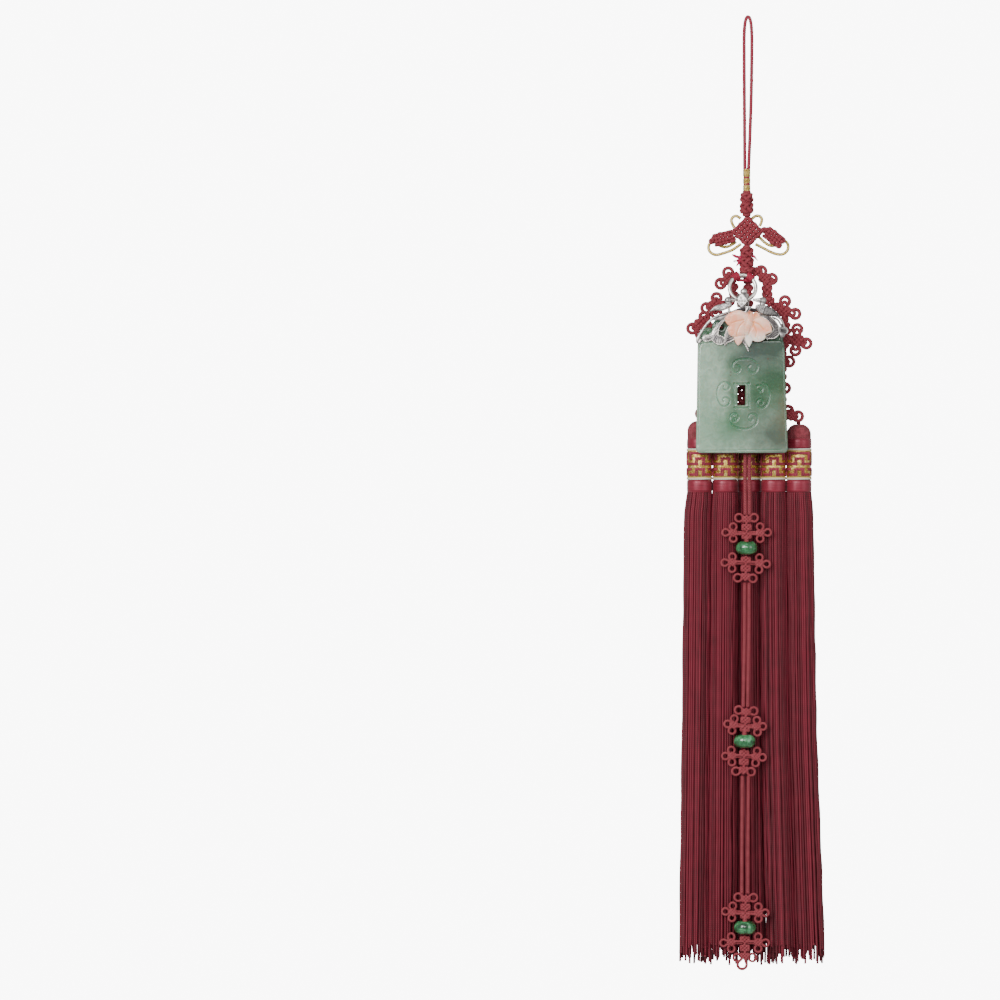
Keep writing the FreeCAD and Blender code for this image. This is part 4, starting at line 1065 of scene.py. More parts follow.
for number, (x, y, top, hang, skirt_x, foot_y) in enumerate(TASSELS, 1):
    head = lathe(x, y, head_profile(top), 208, stitches)
    upper_satin = lathe(x, y, UPPER_SATIN, 64)
    body = lathe(x, y, NECK_CORE, 48)
    lower_satin = lathe(x, y, LOWER_SATIN, 64)
    strap = tube(even([hang, (x, y, top - 1.0)], 0.5), 0.9, 10)
    centres = [x, x] + list(skirt_x)
    depths = [y, y, y, (y + foot_y) / 2, foot_y]
    core_rows = list(zip(SKIRT_LEVELS, centres, depths, SKIRT_RADII))[1:]
    filler_line = [(c, d, h) for h, c, d, r in core_rows]
    filler_line[-1] = (filler_line[-1][0], filler_line[-1][1], FILLER_FOOT)
    filler = tube(filler_line, [4.0, 4.2, 4.3, 4.4], 16)
    parts = [head + (0,), upper_satin + (1,), body + (2,), lower_satin + (1,), strap + (3,), filler + (2,)]
    tassel = piece(f"tassel_{number}_head", parts, head_silk, satin_silk, filler_silk, knot_silk, sharp=70)

    lines, tones = [], []
    drops = [-level for level in SKIRT_LEVELS]
    for count, inset in SKIRT_RINGS:
        start = skirt_dice.uniform(0, 1)
        for k in range(count):
            angle = 2 * math.pi * (k + start + skirt_dice.uniform(-0.18, 0.18)) / count
            drift = skirt_dice.uniform(-0.12, 0.12)
            end = SHORTEST_END - RAGGED * skirt_dice.random() ** 1.6
            sway = skirt_dice.uniform(0.05, 0.24)
            phase = skirt_dice.uniform(0, 6.3)
            waves = skirt_dice.uniform(22, 60)
            line = []
            for z in np.concatenate([[-212.9, -213.6, -215.0], np.linspace(-217.5, end, 38)]):
                share = (z - SKIRT_LEVELS[1]) / (SKIRT_LEVELS[-1] - SKIRT_LEVELS[1])
                radius, middle_x, middle_y = (np.interp(-z, drops, row) for row in (SKIRT_RADII, centres, depths))
                reach = radius - inset
                turned = angle + drift * max(share, 0)
                reach += sway * math.sin(z / waves * 6.28 + phase) * min(max(share * 6, 0), 1)
                line.append((middle_x + reach * SKIRT_SPREAD * math.cos(turned), middle_y + reach * math.sin(turned),
                             z))
            if inset < 1 and skirt_dice.random() < 0.5:
                curl = skirt_dice.uniform(0.55, 0.85)
                side = skirt_dice.choice((-1, 1))
                px, py, pz = line[-1]
                for bend in np.radians(np.linspace(30, 330, 11)):
                    line.append((px + side * curl * (1 - math.cos(bend)), py - 0.15 * bend,
                                 pz - curl * math.sin(bend)))
            lines.append(line)
            tones.append(skirt_dice.random())
    ends = laid(f"tassel_{number}_skirt", lines, THREAD_RADIUS, skirt_silk, sides=6, plies=0, ply_depth=0,
                turns=0, step=4.6, tones=tones)
    whole = joined(f"tassel_{number}_silk", tassel, ends)
    dress(whole, "knotwork", "tassel_silk", f"tassel_{number}")

# Gold sleeves: foil strips wound over the tassel's neck, with crimson two-ply threads laid over them.
# Level threads go on first and upright ones over them, so that together they draw a geometric fret.

FRET = [
    "#.#######.#",
    "#.#.....#.#",
    "#.#.###.#.#",
    "#...#.#...#",
    "#####.#####",
    "...........",
    "###.###.###",
    "#...#.#...#",
    "#.###.###.#",
]
FRET_THREADS = 44
FRET_TOP = -194.95
FRET_ROW = 1.2
FOIL_RADIUS = 5.56
FOIL_ROWS = [(5.42, -193.45), (FOIL_RADIUS, -193.6), (FOIL_RADIUS, -207.2), (5.42, -207.35)]


def foil(name):
    """Woven gilt foil: level strips with a crinkled surface that glints here and there."""
    material, tree = plain_material(name)
    place = add(tree, "UVMap", uv_map="UVMap")
    split = add(tree, "SeparateXYZ", {0: place}).node
    wave = calc(tree, "ABSOLUTE", calc(tree, "SINE", calc(tree, "MULTIPLY", split.outputs[1], math.pi / 0.6)))
    wave = calc(tree, "POWER", wave, 0.35)
    spot = add(tree, "TexCoord").node.outputs["Object"]
    crinkle = add(tree, "TexNoise", {"Vector": spot, "Scale": 2600.0, "Detail": 3.0, "Distortion": 0.8})
    patch = add(tree, "TexNoise", {"Vector": spot, "Scale": 700.0, "Detail": 2.0})
    colour = colour_ramp(tree, calc(tree, "MULTIPLY_ADD", patch, 0.5, calc(tree, "MULTIPLY", crinkle, 0.5)),
                         [(0.38, (0.30, 0.17, 0.03)), (0.52, (0.72, 0.47, 0.10)), (0.64, (1.0, 0.84, 0.38))])
    colour = blend_colours(tree, wave, (0.10, 0.05, 0.015, 1), colour)
    finish(tree, colour, crinkle, depth=0.00018, Roughness=0.3, Metallic=0.9)
    return material


gilt_foil = foil("gilt_foil")
# the first colour of each of these three is painted shade where the plies meet
fret_silk = threads_silk("fret_silk", (0.05, 0.004, 0.010), (0.23, 0.018, 0.036), (0.40, 0.050, 0.085), 0.9)
edge_white = threads_silk("edge_white", (0.30, 0.27, 0.20), (0.70, 0.67, 0.58), (0.90, 0.88, 0.80), 0.8)
edge_gold = threads_silk("edge_gold", (0.16, 0.09, 0.02), (0.60, 0.42, 0.12), (0.95, 0.76, 0.34), 0.8)


SLEEVE_EDGES = [
    ("pale", (-193.72, -207.12), 5.62, edge_white),
    ("gold", (-194.35, -206.5), 5.58, edge_gold),
]


def circle_line(x, y, z, radius, count=72):
    turn = np.linspace(0, 2 * math.pi, count, endpoint=False)
    return np.column_stack([x + radius * np.cos(turn), y + radius * np.sin(turn), np.full(count, z)])


for number, (x, y, *_) in enumerate(TASSELS, 1):
    lines = []
    cells = FRET_THREADS // 2
    for row, chart in enumerate(FRET):
        marks = [chart[cell % len(chart)] == "#" for cell in range(cells)]
        for cell in range(cells):
            run = next((n for n in range(cells) if not marks[(cell + n) % cells]), 0)
            if marks[cell - 1] or run < 3:
                continue
            for down in (0.32, 0.88):
                turns = np.linspace(cell + 0.05, cell + run - 0.05, run * 4) * 2 * math.pi / cells
                reach = np.where((turns == turns[0]) | (turns == turns[-1]), 5.40, 5.56)
                height = np.full(len(turns), FRET_TOP - row * FRET_ROW - down)
                lines.append(np.column_stack([x + reach * np.cos(turns), y + reach * np.sin(turns), height]))
    for k in range(FRET_THREADS):
        turn = 2 * math.pi * (k + 0.5) / FRET_THREADS
        column = [row[(k // 2) % len(row)] for row in FRET]
        row = 0
        while row < len(column):
            last = row
            while column[row] == "#" and last + 1 < len(column) and column[last + 1] == "#":
                last += 1
            if last > row:
                top, bottom = FRET_TOP - row * FRET_ROW - 0.06, FRET_TOP - (last + 1) * FRET_ROW + 0.06
                spots = [(5.38, top), (5.59, top - 0.14), (5.68, top - 0.35), (5.68, bottom + 0.35),
                         (5.59, bottom + 0.14), (5.38, bottom)]
                lines.append([(x + r * math.cos(turn), y + r * math.sin(turn), h) for r, h in spots])
            row = last + 1
    base = piece(f"sleeve_{number}_foil",
                 [lathe(x, y, FOIL_ROWS, 96)], gilt_foil)
    fret = laid(f"sleeve_{number}_fret", lines, 0.36, fret_silk, sides=6, plies=2, ply_depth=0.24, turns=640,
                step=0.3)
    edges = [laid(f"sleeve_{number}_{shade}", [circle_line(x, y, z, radius) for z in levels], 0.3, silk_kind, sides=8,
                  plies=2, ply_depth=0.2, turns=580, step=0.3, closed=True)
             for shade, levels, radius, silk_kind in SLEEVE_EDGES]
    sleeve = joined(f"sleeve_{number}_band", base, fret, *edges)
    dress(sleeve, "knotwork", "gold_sleeve", f"tassel_{number}_sleeve")

# Silver ring: round wire, bent into a ring and soldered; a lashing of crimson thread holds it up.

RING_CENTRE = (-2.6, -4.5, -121.2)
RING_RADIUS = 5.9
RING_WIRE = 0.88
RING_TILT = 14.0


def ring_spot(angle, radius=RING_RADIUS, off=0.0, turn=0.0):
    """A point of the ring by degrees from +X, or beside its wire by off at a turn round the wire."""
    a, tilt = math.radians(angle), math.radians(RING_TILT)
    out = np.array([math.cos(a), math.sin(a) * math.sin(tilt), math.sin(a) * math.cos(tilt)])
    normal = np.array([0, math.cos(tilt), -math.sin(tilt)])
    return np.array(RING_CENTRE) + out * (radius + off * math.cos(turn)) + normal * off * math.sin(turn)


def silver(name, bright, dull, oxide, rough=0.3, painted_shade_right=0.55):
    """Old silver: bright where it is rubbed, grey over broad parts, black in hollows as patina and on low-toned
    pieces as painted shade, and duller to the right as painted shade.
    """
    material, tree = plain_material(name)
    spot = add(tree, "TexCoord").node.outputs["Object"]
    split = add(tree, "SeparateXYZ", {0: spot}).node
    right = add(tree, "MapRange", {"Value": split.outputs[0], "From Min": 0.000, "From Max": 0.005})
    cloud = add(tree, "TexNoise", {"Vector": spot, "Scale": 380.0, "Detail": 6.0})
    grain = add(tree, "TexNoise", {"Vector": spot, "Scale": 4200.0, "Detail": 3.0})
    tone = add(tree, "Attribute", attribute_name="tone").node.outputs["Fac"]
    colour = colour_ramp(tree, cloud, [(0.40, dull), (0.62, bright)])
    # painted shade: right of the middle the colour is pulled towards the dull grey
    colour = blend_colours(tree, calc(tree, "MULTIPLY", right, painted_shade_right), colour, (*dull, 1))
    # low tone turns it to oxide: patina in engraved hollows, painted shade where a whole piece is given a low tone
    hollow = colour_ramp(tree, calc(tree, "MULTIPLY_ADD", cloud, 0.16, tone), [(0.18, (1, 1, 1)), (0.50, (0, 0, 0))])
    colour = blend_colours(tree, hollow, colour, (*oxide, 1))
    rough_value = calc(tree, "MULTIPLY_ADD", cloud, 0.25, calc(tree, "MULTIPLY_ADD", hollow, 0.25, rough - 0.1))
    finish(tree, colour, grain, depth=0.00002, rough=rough_value, Metallic=0.95)
    return material


old_silver = silver("old_silver", (0.74, 0.70, 0.66), (0.30, 0.285, 0.285), (0.045, 0.040, 0.042))
ring_silver = silver("ring_silver", (0.90, 0.86, 0.80), (0.62, 0.58, 0.54), (0.1, 0.09, 0.08), 0.22, 0.0)
ring_line = [ring_spot(angle) for angle in np.linspace(0, 360, 120, endpoint=False)]
ring_wire = piece("ring_wire", [tube(ring_line, RING_WIRE, 20, closed=True, tone=0.8)], ring_silver)
dress(ring_wire, "knotwork", "silver", "ring")

lashing_silk = silk("lashing_silk", (0.08, 0.002, 0.008), (0.25, 0.009, 0.028), (0.46, 0.030, 0.070), braided=False)
lashings = []
for middle, turns in ((120.0, 4.6), (55.0, 5.0)):
    for reach, shift in ((1.12, 0.0), (1.55, 0.4)):
        lashings.append([ring_spot(middle - 14 + 28 * share, off=reach, turn=2 * math.pi * (turns * share + shift))
                         for share in np.linspace(0, 1, 110)])
for start, end, reach in (((-4.9, -3.2, -117.8), (0.4, -3.2, -118.0), 0.5),
                          ((-4.3, -0.9, -116.2), (0.3, -0.9, -116.2), 0.6)):
    for shift in (0.0, 2.1, 4.2):
        lashings.append([(start[0] + (end[0] - start[0]) * share,
                          start[1] + reach * math.cos(5 * share + shift) * 0.7,
                          start[2] + (end[2] - start[2]) * share + reach * math.sin(5 * share + shift) * 0.7)
                         for share in np.linspace(0, 1, 16)])
lashing = laid("lashing_thread", lashings, 0.36, lashing_silk, sides=8, plies=2, ply_depth=0.2, turns=450, step=0.25)
dress(lashing, "knotwork", "silk_cord", "ring_lashing")

# Jade plaque: a slab sawn, ground and polished, with a low crest; scrolls are cut into its face.
# A groove runs beside each long edge, and a line frames the slot that shows the cords behind.
# Drawn on a squared sheet: squares count from its left and from its top.

SHEET_LEFT = -46.76
SHEET_TOP = -104.30
SQUARE = 0.12129


def on_sheet(pairs):
    return np.array([(SHEET_LEFT + SQUARE * u, SHEET_TOP - SQUARE * v) for u, v in pairs])


def through(points, closed=False, per=6):
    """A smooth line through the points of a drawing."""
    p = np.array(points, float)
    p = np.vstack([p[-1:], p, p[:2]]) if closed else np.vstack([2 * p[0] - p[1], p, 2 * p[-1] - p[-2]])
    t = (np.arange(per) / per)[:, None]
    spans = []
    for a, b, c, d in zip(p, p[1:], p[2:], p[3:]):
        spans.append(0.5 * (2 * b + (c - a) * t + (2 * a - 5 * b + 4 * c - d) * t ** 2
                            + (3 * b - a - 3 * c + d) * t ** 3))
    if not closed:
        spans.append(p[-2:-1])
    return np.vstack(spans)


def arcs(pairs, per=10):
    """A closed line of arcs, each through three points; every second point joins two arcs."""
    ring = [np.array(pair, float) for pair in pairs] + [np.array(pairs[0], float)]
    line = []
    for a, b, c in zip(ring[::2], ring[1::2], ring[2::2]):
        turn = 2 * ((b[0] - a[0]) * (c[1] - a[1]) - (b[1] - a[1]) * (c[0] - a[0]))
        if abs(turn) < 1e-6:
            line += [a + (c - a) * share for share in np.arange(per) / per]
            continue
        ab, ac = (b - a).dot(b + a), (c - a).dot(c + a)
        middle = np.array([(ab * (c - a)[1] - ac * (b - a)[1]), (ac * (b - a)[0] - ab * (c - a)[0])]) / turn
        start, end = (math.atan2(*(spot - middle)[::-1]) for spot in (a, c))
        sweep = (end - start) % (2 * math.pi) if turn > 0 else -((start - end) % (2 * math.pi))
        reach = math.dist(a, middle)
        line += [middle + reach * np.array([math.cos(start + sweep * s), math.sin(start + sweep * s)])
                 for s in np.arange(per) / per]
    return np.array(line)


def gap_to(spots, line, closed=False):
    """How far spots of the X-Z plane lie from a line."""
    ends = np.vstack([line, line[:1]]) if closed else np.asarray(line)
    best = np.full(len(spots), 1e9)
    for a, b in zip(ends[:-1], ends[1:]):
        ab = b - a
        share = np.clip((spots - a) @ ab / max(ab @ ab, 1e-12), 0, 1)
        best = np.minimum(best, np.linalg.norm(spots - a - share[:, None] * ab, axis=1))
    return best


def inside(spots, rings):
    """Which spots lie inside the rings, by the even-odd rule."""
    odd = np.zeros(len(spots), bool)
    for ring in rings:
        for a, b in zip(ring, np.roll(ring, -1, 0)):
            crosses = (a[1] > spots[:, 1]) != (b[1] > spots[:, 1])
            rise = b[1] - a[1] if b[1] != a[1] else 1e-12
            odd ^= crosses & (spots[:, 0] < a[0] + (b[0] - a[0]) * (spots[:, 1] - a[1]) / rise)
    return odd


def carved(outline, step, front, back, carve=None, holes=(), slot=0):
    """A plate cut to an outline, its back flat; carve gives the front's lift and its tone."""
    rings = [even(np.column_stack([ring, np.zeros(len(ring))]), step, closed=True)[:, :2]
             for ring in (outline, *holes)]
    rim = np.vstack(rings)
    edges, first = [], 0
    for ring in rings:
        edges += [(first + i, first + (i + 1) % len(ring)) for i in range(len(ring))]
        first += len(ring)
    low, high = rim.min(0), rim.max(0)
    columns, rows = np.meshgrid(np.arange(low[0], high[0], step), np.arange(low[1], high[1], step * 0.87))
    columns[1::2] += step / 2
    grid = np.column_stack([columns.ravel(), rows.ravel()])
    grid = grid[inside(grid, rings)]
    for ring in rings:
        grid = grid[gap_to(grid, ring, True) > step * 0.55]

    def filled(spots):
        made = geometry.delaunay_2d_cdt([Vector(spot) for spot in spots], edges, [], 0, 1e-7)
        corners = np.array([tuple(spot) for spot in made[0]])
        triangles = np.array([tuple(face) for face in made[2]])
        triangles = triangles[inside(corners[triangles].mean(1), rings)]
        a, b, c = (corners[triangles[:, k]] for k in range(3))
        turned = (b - a)[:, 0] * (c - a)[:, 1] - (b - a)[:, 1] * (c - a)[:, 0] < 0
        triangles[turned] = triangles[turned][:, ::-1]
        return corners, triangles

    spots, top = filled(np.vstack([rim, grid]))
    rim_spots, bottom = filled(rim)
    from_edge = np.minimum.reduce([gap_to(spots, ring, True) for ring in rings])
    lift, tone = carve(spots, from_edge) if carve else (np.zeros(len(spots)), np.full(len(spots), 0.7))
    points = np.vstack([np.column_stack([spots[:, 0], front - lift, spots[:, 1]]),
                        np.column_stack([rim_spots[:, 0], np.full(len(rim_spots), back), rim_spots[:, 1]])])
    below = {(round(x, 4), round(z, 4)): len(spots) + i for i, (x, z) in enumerate(rim_spots)}
    seen = {}
    for a, b, c in top:
        for pair in ((a, b), (b, c), (c, a)):
            seen[pair] = True
    walls = []
    for a, b in seen:
        if (b, a) not in seen:
            under_a, under_b = (below[(round(spots[k][0], 4), round(spots[k][1], 4))] for k in (a, b))
            walls += [(b, a, under_a), (b, under_a, under_b)]
    faces = np.vstack([top, np.array(walls), bottom[:, ::-1] + len(spots)])
    tones = np.concatenate([tone, np.full(len(rim_spots), 0.6)])
    return points, faces, np.zeros((len(faces), 3, 2)), tones, slot


JADE_BACK = -4.8
SLAB_CORNERS = [(-22.9, -144.9), (-23.6, -195.5), (17.6, -195.5), (15.9, -144.7)]
CORNER_RADIUS = 2.4
SLOT = [(-5.05, -165.05), (-5.05, -174.05), (-1.55, -174.05), (-1.55, -165.05)]
SLOT_RADIUS = 0.35
SCROLLS = [
    on_sheet([(340, 428), (348, 430), (353, 438), (350, 449), (341, 455), (331, 450), (325, 439), (326, 427),
              (333, 415), (345, 407), (366, 404), (386, 404), (400, 408), (412, 418), (418, 431), (416, 444),
              (408, 453), (399, 455), (389, 449), (383, 440), (385, 432), (391, 428)]),
    on_sheet([(293, 504), (290, 511), (296, 518), (305, 518), (312, 511), (313, 501), (307, 493), (297, 489),
              (286, 491), (276, 502), (269, 517), (267, 535), (269, 552), (276, 567), (287, 577), (300, 578),
              (310, 572), (314, 561), (311, 551), (302, 546), (293, 548), (288, 556), (293, 563)]),
    on_sheet([(421, 518), (426, 525), (434, 521), (436, 511), (430, 502), (418, 502), (414, 507)]),
    on_sheet([(436, 494), (450, 500), (458, 515), (461, 535), (459, 555), (452, 572), (441, 583), (428, 585),
              (418, 579), (415, 568), (419, 558), (428, 553), (436, 557), (437, 565), (430, 570)]),
    on_sheet([(336, 626), (328, 622), (327, 614), (334, 609), (343, 613), (346, 622), (341, 631), (331, 635),
              (323, 630), (320, 618)]),
    on_sheet([(340, 607), (328, 605), (318, 612), (315, 626), (318, 640), (328, 652), (344, 659), (362, 662),
              (382, 661), (398, 655), (410, 645), (416, 632), (415, 618), (408, 609), (397, 607), (387, 612),
              (383, 622), (388, 631), (396, 633), (399, 626)]),
]
EDGE_LINES = [
    on_sheet([(250, 344), (222, 344), (210, 349), (204, 360), (202, 400), (201, 560), (199, 724)]),
    on_sheet([(512, 362), (516, 480), (520, 600), (523, 706)]),
    on_sheet([(226, 743), (300, 742), (400, 741), (505, 740)]),
]
FRAME_LINES = [
    on_sheet([(329, 496), (388, 496)]), on_sheet([(332, 493), (334, 588)]),
    on_sheet([(384, 493), (387, 585)]), on_sheet([(332, 584), (384, 584)]),
]


def rounded(corners, radius, per=6):
    """A polygon with round corners."""
    corners = [np.array(corner, float) for corner in corners]
    line = []
    for before, corner, after in zip(corners[-1:] + corners[:-1], corners, corners[1:] + corners[:1]):
        back, ahead = before - corner, after - corner
        start, end = corner + back / np.linalg.norm(back) * radius, corner + ahead / np.linalg.norm(ahead) * radius
        line += [start * (1 - t) ** 2 + 2 * corner * t * (1 - t) + end * t ** 2 for t in np.linspace(0, 1, per)]
    return np.array(line)


def cut_jade(spots, from_edge):
    """Round edges, U-shaped grooves with a slight lip, and the sunk line of the frame."""
    lift = -0.55 * (1 - np.clip(from_edge / 1.1, 0, 1)) ** 2.2
    tone = np.full(len(spots), 0.7)
    for lines, width, depth, lip in ((SCROLLS, 0.30, 0.40, 0.03), (EDGE_LINES, 0.20, 0.22, 0.0),
                                     (FRAME_LINES, 0.30, 0.34, 0.03)):
        for line in lines:
            gap = gap_to(spots, through(line) if lines is SCROLLS else line)
            groove = np.exp(-(gap / width) ** 2)
            lift = lift - depth * groove + lip * np.exp(-((gap - 2.1 * width) / (0.8 * width)) ** 2)
            # the tone drops in the grooves; the jade material turns this into painted shade
            tone = tone - 0.6 * groove
    return lift, tone


slab = carved(rounded(SLAB_CORNERS, CORNER_RADIUS), 0.27, -8.8, JADE_BACK, cut_jade,
              holes=[rounded(SLOT, SLOT_RADIUS, 4)])
CREST = [
    (-21.6, -146.6), (-21.8, -141.6), (-18.4, -139.2), (-17.2, -139.2),
    (-16.3, -139.9), (-16.0, -137.2), (-13.0, -134.6), (-2.6, -133.2),
    (8.4, -134.6), (11.2, -137.2), (11.3, -139.9), (12.1, -139.3),
    (13.0, -139.4), (15.2, -142.0), (15.0, -146.4), (-2.8, -146.8),
]
CREST_HOLE = (-12.1, -139.1, 0.62)
CREST_CUTS = [
    on_sheet([(211, 326), (216, 312), (222, 304), (230, 306), (236, 318)]),
    on_sheet([(236, 316), (240, 308), (246, 304)]),
    on_sheet([(252, 300), (258, 320), (256, 345)]), on_sheet([(262, 268), (256, 290), (254, 310)]),
    on_sheet([(256, 262), (276, 263)]), on_sheet([(498, 300), (494, 325), (486, 340)]),
]


def cut_crest(spots, from_edge):
    lift = -0.7 * (1 - np.clip(from_edge / 1.2, 0, 1)) ** 2
    tone = np.full(len(spots), 0.7)
    for line in CREST_CUTS:
        groove = np.exp(-(gap_to(spots, through(line)) / 0.45) ** 2)
        # the tone drops in the crest's cuts; the jade material turns this into painted shade
        lift, tone = lift - 0.4 * groove, tone - 0.6 * groove
    return lift, tone


def round_outline(x, z, radius, count):
    turn = np.linspace(0, 2 * math.pi, count, endpoint=False)
    return np.column_stack([x + radius * np.cos(turn), z + radius * np.sin(turn)])


crest_hole = round_outline(*CREST_HOLE, 20)
crest = carved(arcs(CREST), 0.4, -7.4, JADE_BACK + 0.05, cut_crest, holes=[crest_hole])

JADE_PATCHES = [
    # squares across and down, half width, half height, share, colour
    (215, 640, 40, 170, 0.45, (0.156, 0.289, 0.179)), (320, 640, 60, 55, 0.85, (0.047, 0.164, 0.070)),
    (310, 430, 34, 60, 0.35, (0.094, 0.172, 0.109)), (345, 430, 42, 45, 0.75, (0.039, 0.109, 0.051)),
    (326, 545, 22, 90, 0.75, (0.039, 0.109, 0.051)), (485, 500, 100, 90, 1.0, (0.013, 0.071, 0.023)),
    (425, 540, 65, 110, 0.90, (0.022, 0.083, 0.032)), (480, 365, 140, 75, 1.05, (0.025, 0.054, 0.032)),
    (400, 385, 60, 50, 0.70, (0.032, 0.054, 0.042)), (480, 690, 120, 100, 0.85, (0.054, 0.080, 0.054)),
    (520, 600, 28, 90, 0.75, (0.083, 0.074, 0.032)), (300, 700, 60, 40, 0.35, (0.101, 0.211, 0.125)),
    # the two dark patches on the next line lie on the crest behind the mount: painted shadow of the mount
    (260, 310, 130, 30, 0.75, (0.039, 0.102, 0.054)), (285, 300, 40, 40, 1.00, (0.010, 0.041, 0.018)),
    (225, 300, 24, 16, 0.50, (0.125, 0.257, 0.140)),
]
JADE_SPECKS = [(460, 456, 2.0), (318, 453, 3.2), (318, 465, 2.6), (307, 483, 2.0), (456, 404, 3.6)]


def jade_stone():
    material, tree = plain_material("jade_stone")
    spot = add(tree, "TexCoord").node.outputs["Object"]
    cloud = add(tree, "TexNoise", {"Vector": spot, "Scale": 110.0, "Detail": 7.0, "Distortion": 0.6})
    vein = add(tree, "TexNoise", {"Vector": spot, "Scale": 320.0, "Detail": 6.0, "Distortion": 1.5})
    grain = add(tree, "TexNoise", {"Vector": spot, "Scale": 3600.0, "Detail": 2.0})
    bend = add(tree, "TexNoise", {"Vector": spot, "Scale": 150.0, "Detail": 3.0}).node.outputs["Color"]
    swirl = add(tree, "VectorMath", {0: bend, 1: (0.5, 0.5, 0.5)}, operation="SUBTRACT")
    swirl = add(tree, "VectorMath", {0: swirl, "Scale": 0.007}, operation="SCALE")
    moved = add(tree, "VectorMath", {0: spot, 1: swirl}, operation="ADD")
    split = add(tree, "SeparateXYZ", {0: moved}).node
    colour = colour_ramp(tree, vein, [(0.35, (0.22, 0.32, 0.23)), (0.65, (0.33, 0.45, 0.34))])
    for u, v, wide, tall, share, shade in JADE_PATCHES:
        (x, z), = on_sheet([(u, v)])
        across = calc(tree, "DIVIDE", calc(tree, "SUBTRACT", split.outputs[0], x * MM), wide * SQUARE * MM)
        down = calc(tree, "DIVIDE", calc(tree, "SUBTRACT", split.outputs[2], z * MM), tall * SQUARE * MM)
        far = calc(tree, "ADD", calc(tree, "MULTIPLY", across, across), calc(tree, "MULTIPLY", down, down))
        near = calc(tree, "EXPONENT", calc(tree, "MULTIPLY", far, -0.95))
        near = calc(tree, "MULTIPLY", near, calc(tree, "MULTIPLY_ADD", cloud, share * 1.5, share * 0.35))
        near = add(tree, "Clamp", {0: near})
        colour = blend_colours(tree, near, colour, (*shade, 1))
    straight = add(tree, "SeparateXYZ", {0: spot}).node
    for u, v, reach in JADE_SPECKS:
        (x, z), = on_sheet([(u, v)])
        across = calc(tree, "SUBTRACT", straight.outputs[0], x * MM)
        down = calc(tree, "SUBTRACT", straight.outputs[2], z * MM)
        far = calc(tree, "ADD", calc(tree, "MULTIPLY", across, across), calc(tree, "MULTIPLY", down, down))
        near = calc(tree, "MULTIPLY", calc(tree, "EXPONENT", calc(tree, "DIVIDE", far, -(reach * SQUARE * MM) ** 2)),
                    calc(tree, "MULTIPLY_ADD", vein, 1.4, -0.05))
        colour = blend_colours(tree, add(tree, "Clamp", {0: near}), colour, (0.085, 0.035, 0.022, 1))
    # painted shade: where the tone is low, in the grooves, the colour is mixed to a deeper green
    tone = add(tree, "Attribute", attribute_name="tone").node.outputs["Fac"]
    cut = add(tree, "MapRange", {"Value": tone, "From Min": 0.62, "From Max": 0.15, "To Max": 0.6})
    colour = blend_colours(tree, cut, colour, (0.06, 0.19, 0.10, 1))
    finish(tree, colour, calc(tree, "MULTIPLY_ADD", grain, 0.35, vein), depth=0.00003, Roughness=0.24,
           Subsurface_Weight=0.22, Subsurface_Scale=0.002, Coat_Weight=0.35, Coat_Roughness=0.12)
    return material


jade = piece("jade_slab", [slab, crest], jade_stone(), sharp=50)
dress(jade, "pendant", "jade", "jade_plaque")

# Silver mount: cast and chased in one piece. A drilled cube hangs on the ring between two birds.
# Below them, leaves with wire rims and engraved veins spread over the head of the plaque.

PIVOT_Y = -5.854
PIVOT_Z = -126.63
CUBE_MIDDLE = (-2.6, -5.954, -127.1)
CUBE_HALF = (2.6, 2.6, 3.1)
CUBE_BEVEL = 0.14
BORE_RADIUS = 1.6
STAMPS = [(-0.35, 1.3), (-1.15, -0.35), (0.1, -0.2), (1.25, -0.25), (0.0, -1.6)]
BALL_MIDDLE = (-2.2, -5.954, -123.1)
BIRD_FRONT = -10.3
BIRD_BACK = -8.8
LEAF_FRONT = -9.6
LEAF_BACK = -9.0
STEM_Y = -9.5


CUBE_TURN = -13.0


def turned(points, unit=1.0):
    """Points turned about the cube's upright middle line, with the cube."""
    across, deep = np.asarray(points)[:, 0] - CUBE_MIDDLE[0] * unit, np.asarray(points)[:, 1] - CUBE_MIDDLE[1] * unit
    swing = math.radians(CUBE_TURN)
    return np.column_stack([CUBE_MIDDLE[0] * unit + across * math.cos(swing) - deep * math.sin(swing),
                            CUBE_MIDDLE[1] * unit + across * math.sin(swing) + deep * math.cos(swing),
                            np.asarray(points)[:, 2]])


